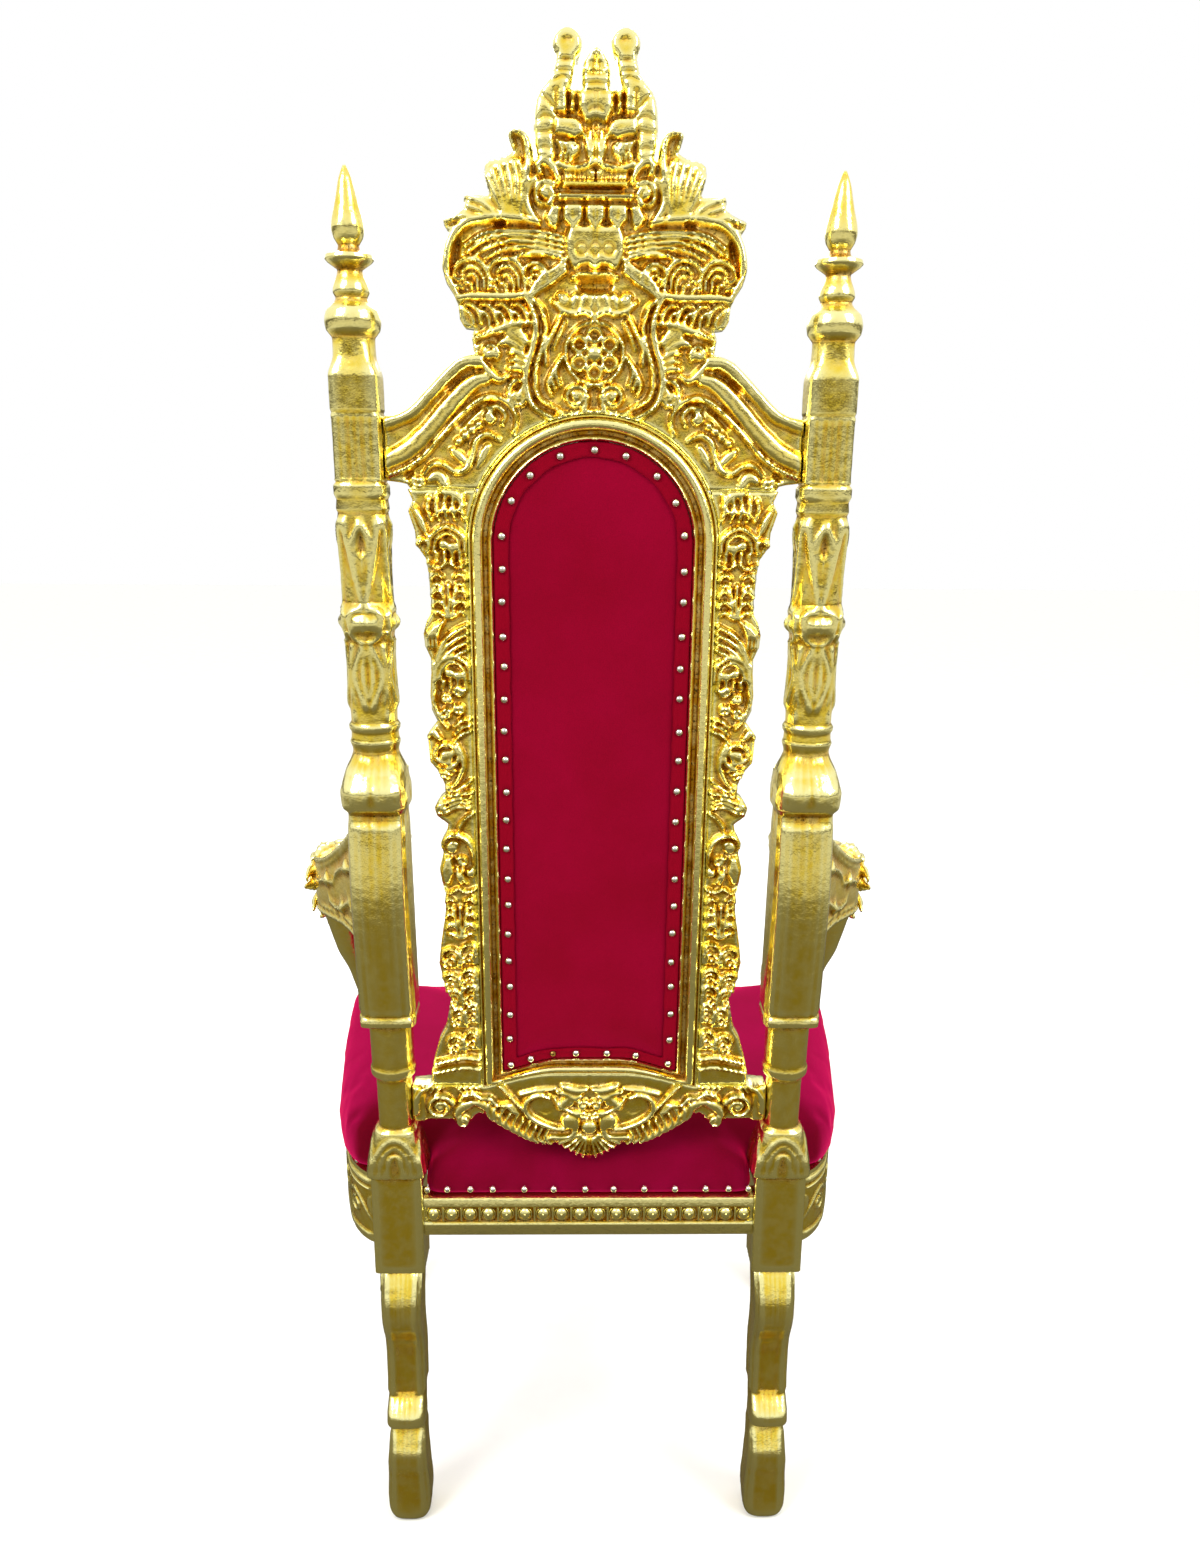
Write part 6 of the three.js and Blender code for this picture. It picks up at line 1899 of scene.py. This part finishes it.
# ---- the stage ----
def make_stage(stage):
    """Pale floor, soft boxes overhead, a dim room behind the camera and the camera itself."""
    reach = 14.0
    rings = [[(-reach, -reach, 0), (reach, -reach, 0)], [(-reach, reach, 0), (reach, reach, 0)]]
    points, faces = skin(rings, closed=False, caps=False)
    mesh = bpy.data.meshes.new("studio_floor")
    mesh.from_pydata(points.tolist(), [], faces)
    mesh.materials.append(material_of("floor"))
    floor = linked("studio_floor", mesh)
    bpy.context.scene.view_settings.view_transform = "Standard"

    world = bpy.data.worlds.new("studio_room")
    bpy.context.scene.world = world
    world.use_nodes = True
    tree = world.node_tree
    tree.nodes.clear()
    direction = node(tree, "ShaderNodeTexCoord").outputs["Generated"]
    height = node(tree, "ShaderNodeSeparateXYZ", links={0: direction}).outputs["Z"]
    room = ramp(tree, ranged(tree, height, -1.0, 1.0, 0.0, 1.0),
                [(0.0, "#4E4A3A"), (0.49, "#4E4A3A"), (0.515, "#A8A498"), (0.57, "#F2F2EC"),
                 (1.0, "#FFFFFF")])
    seen = node(tree, "ShaderNodeLightPath").outputs["Is Camera Ray"]
    light = node(tree, "ShaderNodeBackground", {"Strength": stage.room_light}, {"Color": room})
    shown = node(tree, "ShaderNodeBackground", {"Color": linear("#FFFFFF"), "Strength": 1.0})
    mix = node(tree, "ShaderNodeMixShader", links={0: seen, 1: light.outputs[0], 2: shown.outputs[0]})
    output = node(tree, "ShaderNodeOutputWorld", links={"Surface": mix.outputs[0]})
    output.is_active_output = True

    middle = (0.0, POST_Y * MM, 0.95)
    for name, place, width, power in (
            ("soft_box_left", (2.2, 2.4, 3.2), 1.6, stage.key_light),
            ("soft_box_right", (-2.4, 1.9, 2.9), 1.6, stage.key_light * 0.7),
            ("soft_box_front", (0.4, -2.6, 3.0), 2.0, stage.key_light * 0.6)):
        light = bpy.data.lights.new(name, "AREA")
        light.shape, light.size, light.energy = "SQUARE", width, power
        lamp = linked(name, light)
        lamp.location = place
        aim = Vector(middle) - Vector(place)
        lamp.rotation_euler = aim.to_track_quat("-Z", "Y").to_euler()

    lens = bpy.data.cameras.new("camera")
    lens.lens = stage.lens
    lens.sensor_width = 36.0
    camera = linked("camera", lens)
    camera.location = (stage.camera_side, POST_Y * MM + stage.distance, stage.camera_height)
    camera.rotation_euler = (math.pi / 2 - stage.pitch, stage.roll, math.pi + stage.turn)
    bpy.context.scene.camera = camera


# ---- the add-on ----
def size(name, description, default, **more):
    """A property holding a real number, in metres, radians or plain units."""
    return FloatProperty(name=name, description=description, default=default, **more)


def length_mm(name, description, mm, least=0.0):
    """A property holding a length, its default and its least value given in millimetres."""
    return size(name, description, mm * MM, unit="LENGTH", min=least * MM)


def tint(name, description, default):
    """A property holding one colour."""
    return StringProperty(name=name, description=description + ", as an sRGB hex value", default=default)


class ThroneCarving(bpy.types.PropertyGroup):
    """How finely the wood is carved."""
    crest_pitch: length_mm("Crest pitch", "Spacing of the crest rail's carved surface", 1.6, 1.2)
    stile_pitch: length_mm("Stile pitch", "Spacing of the stiles' carved surface", 1.5, 1.2)
    lower_rail_pitch: length_mm("Lower rail pitch", "Spacing of the lower rail's carved surface", 1.5, 1.2)
    post_columns: IntProperty(name="Post columns", description="Points around a rear post", default=76,
                              min=32)
    post_pitch: length_mm("Post pitch", "Spacing of points along a rear post", 3.2, 2)
    leg_columns: IntProperty(name="Leg columns", description="Points around a front leg", default=48, min=24)
    leg_pitch: length_mm("Leg pitch", "Spacing of points along a front leg", 3.0, 2)
    side_rail_pitch: length_mm("Side rail pitch", "Spacing of the side rails' surface", 2.2, 1.5)
    front_rail_pitch: length_mm("Front rail pitch", "Spacing of the front rail's surface", 3.0, 2)
    arm_voxel: length_mm("Arm voxel", "Size of the voxels that join an arm's carved parts", 3.3, 2.5)
    eggs: IntProperty(name="Eggs", description="Eggs in the rear seat rail's moulding", default=18, min=2)


class ThroneUpholstery(bpy.types.PropertyGroup):
    """Sizes of the velvet, its stuffing and its nails."""
    border: length_mm("Border", "Width of the back's nailed border strip", 17)
    crown: length_mm("Back crown", "How far the padding stands out inside the border", 6)
    nail_inset: length_mm("Nail inset", "From the panel's edge to the nails", 9.5)
    nails: IntProperty(name="Back nails", description="Nails up the sides and round the arch", default=45,
                       min=8)
    nail_radius: length_mm("Nail radius", "Radius of the back's nail heads", 4.7)
    worn_radius: length_mm("Worn nail radius", "Radius of the nail that lost its plating", 3.9)
    hem_nails: IntProperty(name="Hem nails", description="Small nails round the seat's sides and front",
                           default=96, min=8)
    panel_pitch: length_mm("Panel pitch", "Spacing of the back velvet's surface", 4.5, 2)
    border_pitch: length_mm("Border pitch", "Spacing of the border's surface", 2.4, 2)
    stuffing: size("Stuffing", "Pressure that swells the seat", 4.0, min=0.0)
    swell: length_mm("Swell", "Furthest that any point of the seat may swell", 9)
    seat_voxel: length_mm("Seat voxel", "Size of the voxels of the seat's skin", 12, 6)


class ThroneFinish(bpy.types.PropertyGroup):
    """Colours of the gold and the velvets."""
    gold: tint("Gold", "Gold leaf on open surfaces", "#F4D850")
    # Painted highlight: the pale colour of raised places.
    gold_pale_highlight: tint("Gold edges", "Gold leaf where it is rubbed pale", "#FBF2AA")
    # Painted reflected light: the more orange colour of the hollows.
    gold_recess_reflected_light: tint("Gold recesses", "Gold leaf in the hollows", "#F0C244")
    # Painted shade: the darker amber of the deepest cuts.
    gold_deep_shade: tint("Gold depths", "The deepest cuts", "#B8821C")
    # The dark speckles laid into the hollows.
    dark_hollow_speckle: tint("Grime", "Speckled dirt that stays in the hollows", "#30200A")
    velvet: tint("Back velvet", "Crimson velvet of the back", "#76001A")
    # Painted sheen: the back velvet at grazing view angles and in its brush marks.
    velvet_sheen_and_brushed: tint("Back velvet, brushed", "The same where the pile leans to the light", "#9A0034")
    band_velvet: tint("Border velvet", "The nailed border strip", "#7A0016")
    seat_velvet: tint("Seat velvet", "Velvet of the seat", "#620016")
    # Painted sheen: the seat velvet at grazing view angles and in its brush marks.
    seat_velvet_sheen_and_brushed: tint("Seat velvet, brushed", "The same where the pile leans to the light", "#A60048")


class ThroneStage(bpy.types.PropertyGroup):
    """Camera and light."""
    lens: size("Lens", "Focal length for a 36 mm long side", 27.05, unit="CAMERA")
    distance: size("Distance", "From the posts' middle plane back to the camera", 1.358, unit="LENGTH")
    camera_side: size("Side", "Camera's distance to the throne's left", 0.013, unit="LENGTH")
    camera_height: size("Height", "Camera above the floor", 1.419, unit="LENGTH")
    pitch: size("Pitch", "Angle that the camera looks down", math.radians(14.5), unit="ROTATION")
    turn: size("Turn", "Angle that the camera is turned sideways", math.radians(-0.88), unit="ROTATION")
    roll: size("Roll", "Angle that the camera is tipped", math.radians(-0.43), unit="ROTATION")
    key_light: size("Key light", "Power of the brightest soft box in watts", 90.0, unit="POWER", min=0.0)
    room_light: size("Room light", "Strength of the room's own light", 1.1, min=0.0)


def carved(name, shape, *nodes):
    """A gilded piece that stands for one or more of the throne's solids."""
    dress(add_piece(name, *shape, material_of("gold")), "gilded_wood", *nodes)


def carved_pair(name, shape, node_name):
    """A gilded piece and its mirror image."""
    carved(name + "_left", shape, node_name + "_left")
    carved(name + "_right", mirror_copy(*shape), node_name + "_right")


def nailed(name, points, facings, radius_mm, dome_mm, material):
    """A row of nails, which rides on the throne beside the solids."""
    nails = finish_piece(name, nail_row(name, points, facings, radius_mm, dome_mm, material), material)
    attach(nails, BODY)


class CrestRail(bpy.types.Operator):
    """Carve the crest rail: crown, wings, flower, lyre and shoulders"""
    bl_idname = "throne.crest_rail"
    bl_label = "Carve crest rail"

    def execute(self, context):
        pitch = context.scene.throne_carving.crest_pitch / MM
        carved("crest_rail_carved", board_mesh(crest_field(pitch)), "crest_rail")
        return {"FINISHED"}


class BackStiles(bpy.types.Operator):
    """Carve the two stiles beside the back panel"""
    bl_idname = "throne.back_stiles"
    bl_label = "Carve back stiles"

    def execute(self, context):
        pitch = context.scene.throne_carving.stile_pitch / MM
        carved_pair("back_stile_carved", board_mesh(stile_field(pitch)), "back_stile")
        return {"FINISHED"}


class LowerRail(bpy.types.Operator):
    """Carve the shaped rail under the back panel"""
    bl_idname = "throne.lower_rail"
    bl_label = "Carve lower rail"

    def execute(self, context):
        pitch = context.scene.throne_carving.lower_rail_pitch / MM
        carved("back_lower_rail_carved", board_mesh(lower_rail_field(pitch)), "back_lower_rail")
        return {"FINISHED"}


class PanelMoulding(bpy.types.Operator):
    """Run the moulding round the back panel"""
    bl_idname = "throne.panel_moulding"
    bl_label = "Run panel moulding"

    def execute(self, context):
        carved("panel_moulding_run", moulding_mesh(), "panel_moulding")
        return {"FINISHED"}


class RearPosts(bpy.types.Operator):
    """Turn and carve the rear posts, from spike to foot"""
    bl_idname = "throne.rear_posts"
    bl_label = "Carve rear posts"

    def execute(self, context):
        carving = context.scene.throne_carving
        carved_pair("rear_post_carved", post_mesh(carving.post_columns, carving.post_pitch / MM), "rear_post")
        return {"FINISHED"}


class FrontLegs(bpy.types.Operator):
    """Carve the front legs"""
    bl_idname = "throne.front_legs"
    bl_label = "Carve front legs"

    def execute(self, context):
        carving = context.scene.throne_carving
        carved_pair("front_leg_carved", front_leg_mesh(carving.leg_columns, carving.leg_pitch / MM),
                    "front_leg")
        return {"FINISHED"}


class SeatRails(bpy.types.Operator):
    """Carve the side and front seat rails"""
    bl_idname = "throne.seat_rails"
    bl_label = "Carve seat rails"

    def execute(self, context):
        carving = context.scene.throne_carving
        carved_pair("seat_rail_carved", side_rail_mesh(carving.side_rail_pitch / MM), "seat_rail")
        carved("seat_rail_carved_front", front_rail_mesh(carving.front_rail_pitch / MM), "seat_rail_front")
        return {"FINISHED"}


class RearSeatRail(bpy.types.Operator):
    """Run the rear seat rail and set its egg moulding"""
    bl_idname = "throne.rear_seat_rail"
    bl_label = "Run rear seat rail"

    def execute(self, context):
        gold = material_of("gold")
        carved("seat_rail_run_rear", rear_rail_mesh(), "seat_rail_rear")
        eggs = finish_piece("seat_rail_eggs", egg_moulding(gold, context.scene.throne_carving.eggs), gold)
        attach(eggs, BODY)
        return {"FINISHED"}


class Arms(bpy.types.Operator):
    """Carve the arms with their lions' heads"""
    bl_idname = "throne.arms"
    bl_label = "Carve arms"

    def execute(self, context):
        carved_pair("arm_carved", arm_mesh(context.scene.throne_carving.arm_voxel / MM), "arm")
        return {"FINISHED"}


class BackVelvet(bpy.types.Operator):
    """Cover the back panel and lay its nailed border"""
    bl_idname = "throne.back_velvet"
    bl_label = "Cover back panel"

    def execute(self, context):
        cloth = context.scene.throne_upholstery
        nails = nail_places(cloth.nail_inset / MM, cloth.nails, FOOT_NAILS)
        border = cloth.border / MM
        shape = back_panel_mesh(cloth.panel_pitch / MM, border, cloth.crown / MM, nails)
        cover = add_piece("back_velvet", *shape, material_of("velvet"))
        dress(cover, "velvet", "back_panel")
        shape = band_mesh(cloth.border_pitch / MM, border, nails)
        dress(add_piece("back_velvet_border", *shape, material_of("band")), "velvet_band", "back_panel_band")
        return {"FINISHED"}


class InsideVelvet(bpy.types.Operator):
    """Cover the sitter's side of the back with its deep pad"""
    bl_idname = "throne.inside_velvet"
    bl_label = "Pad inside back"

    def execute(self, context):
        pad = add_piece("inside_back_velvet", *inside_pad_mesh(5), material_of("velvet"))
        dress(pad, "velvet", "inside_back_pad")
        return {"FINISHED"}


class SeatVelvet(bpy.types.Operator):
    """Stuff the seat and cover it"""
    bl_idname = "throne.seat_velvet"
    bl_label = "Stuff seat"

    def execute(self, context):
        cloth = context.scene.throne_upholstery
        mesh = swollen("seat_velvet", *cushion_shape(), cloth.seat_voxel / MM, cloth.stuffing,
                       cloth.swell / MM)
        seat = finish_piece("seat_velvet", mesh, material_of("seat"))
        dress(seat, "velvet", "seat_cushion")
        return {"FINISHED"}


class Nails(bpy.types.Operator):
    """Drive the domed nails of the back and the seat"""
    bl_idname = "throne.nails"
    bl_label = "Drive nails"

    def execute(self, context):
        cloth = context.scene.throne_upholstery
        places = nail_places(cloth.nail_inset / MM, cloth.nails, FOOT_NAILS)
        spots = leaned(np.column_stack([places[:, 0], np.full(len(places), 2.6), places[:, 1]]))
        worn = len(places) - len(FOOT_NAILS) + WORN_NAIL
        tilt = math.atan(LEAN)
        facing = (0.0, math.cos(tilt), -math.sin(tilt))
        bright = np.delete(spots, worn, axis=0)
        plated, bare = material_of("nail"), material_of("worn_nail")
        big, small = cloth.nail_radius / MM, cloth.worn_radius / MM
        nailed("back_nails", bright, [facing] * len(bright), big, big * 0.93, plated)
        nailed("back_nail_worn", spots[[worn]], [facing], small, small * 0.8, bare)
        seat = upright(np.column_stack([SEAT_NAILS, np.full(len(SEAT_NAILS), 18.0),
                                        np.full(len(SEAT_NAILS), RAIL_TOP + 13.0)]))
        nailed("seat_rear_nails", seat, [(0, 1, 0)] * len(seat), 4.5, 4.2, plated)
        hem, out = seat_edge(cloth.hem_nails)
        nailed("seat_hem_nails", upright(hem), out, 3.6, 3.2, plated)
        return {"FINISHED"}


class Stage(bpy.types.Operator):
    """Lay the studio floor and set the light and the camera"""
    bl_idname = "throne.stage"
    bl_label = "Set stage"

    def execute(self, context):
        make_stage(context.scene.throne_stage)
        return {"FINISHED"}


STEPS = (CrestRail, BackStiles, LowerRail, PanelMoulding, RearPosts, FrontLegs, SeatRails, RearSeatRail, Arms,
         BackVelvet, InsideVelvet, SeatVelvet, Nails, Stage)
GROUPS = {"throne_carving": ThroneCarving, "throne_upholstery": ThroneUpholstery,
          "throne_finish": ThroneFinish, "throne_stage": ThroneStage}


class VIEW3D_PT_throne(bpy.types.Panel):
    """The throne's sizes, colours and steps"""
    bl_label = "Gilded Throne"
    bl_idname = "VIEW3D_PT_throne"
    bl_space_type = "VIEW_3D"
    bl_region_type = "UI"
    bl_category = "Throne"

    def draw(self, context):
        for name, group in GROUPS.items():
            box = self.layout.box()
            box.label(text=group.__doc__)
            for key in group.__annotations__:
                box.prop(getattr(context.scene, name), key)
        for step in STEPS:
            self.layout.operator(step.bl_idname)


def register():
    """Registers the classes and puts the sizes and colours on the scene."""
    for made in (*GROUPS.values(), *STEPS, VIEW3D_PT_throne):
        bpy.utils.register_class(made)
    for name, group in GROUPS.items():
        setattr(bpy.types.Scene, name, PointerProperty(type=group))


def unregister():
    """Takes everything away again."""
    for name in GROUPS:
        delattr(bpy.types.Scene, name)
    for made in reversed((*GROUPS.values(), *STEPS, VIEW3D_PT_throne)):
        bpy.utils.unregister_class(made)


def main():
    """Makes every piece and the stage."""
    register()
    for step in STEPS:
        group, name = step.bl_idname.split(".")
        getattr(getattr(bpy.ops, group), name)()


if __name__ == "__main__":
    main()
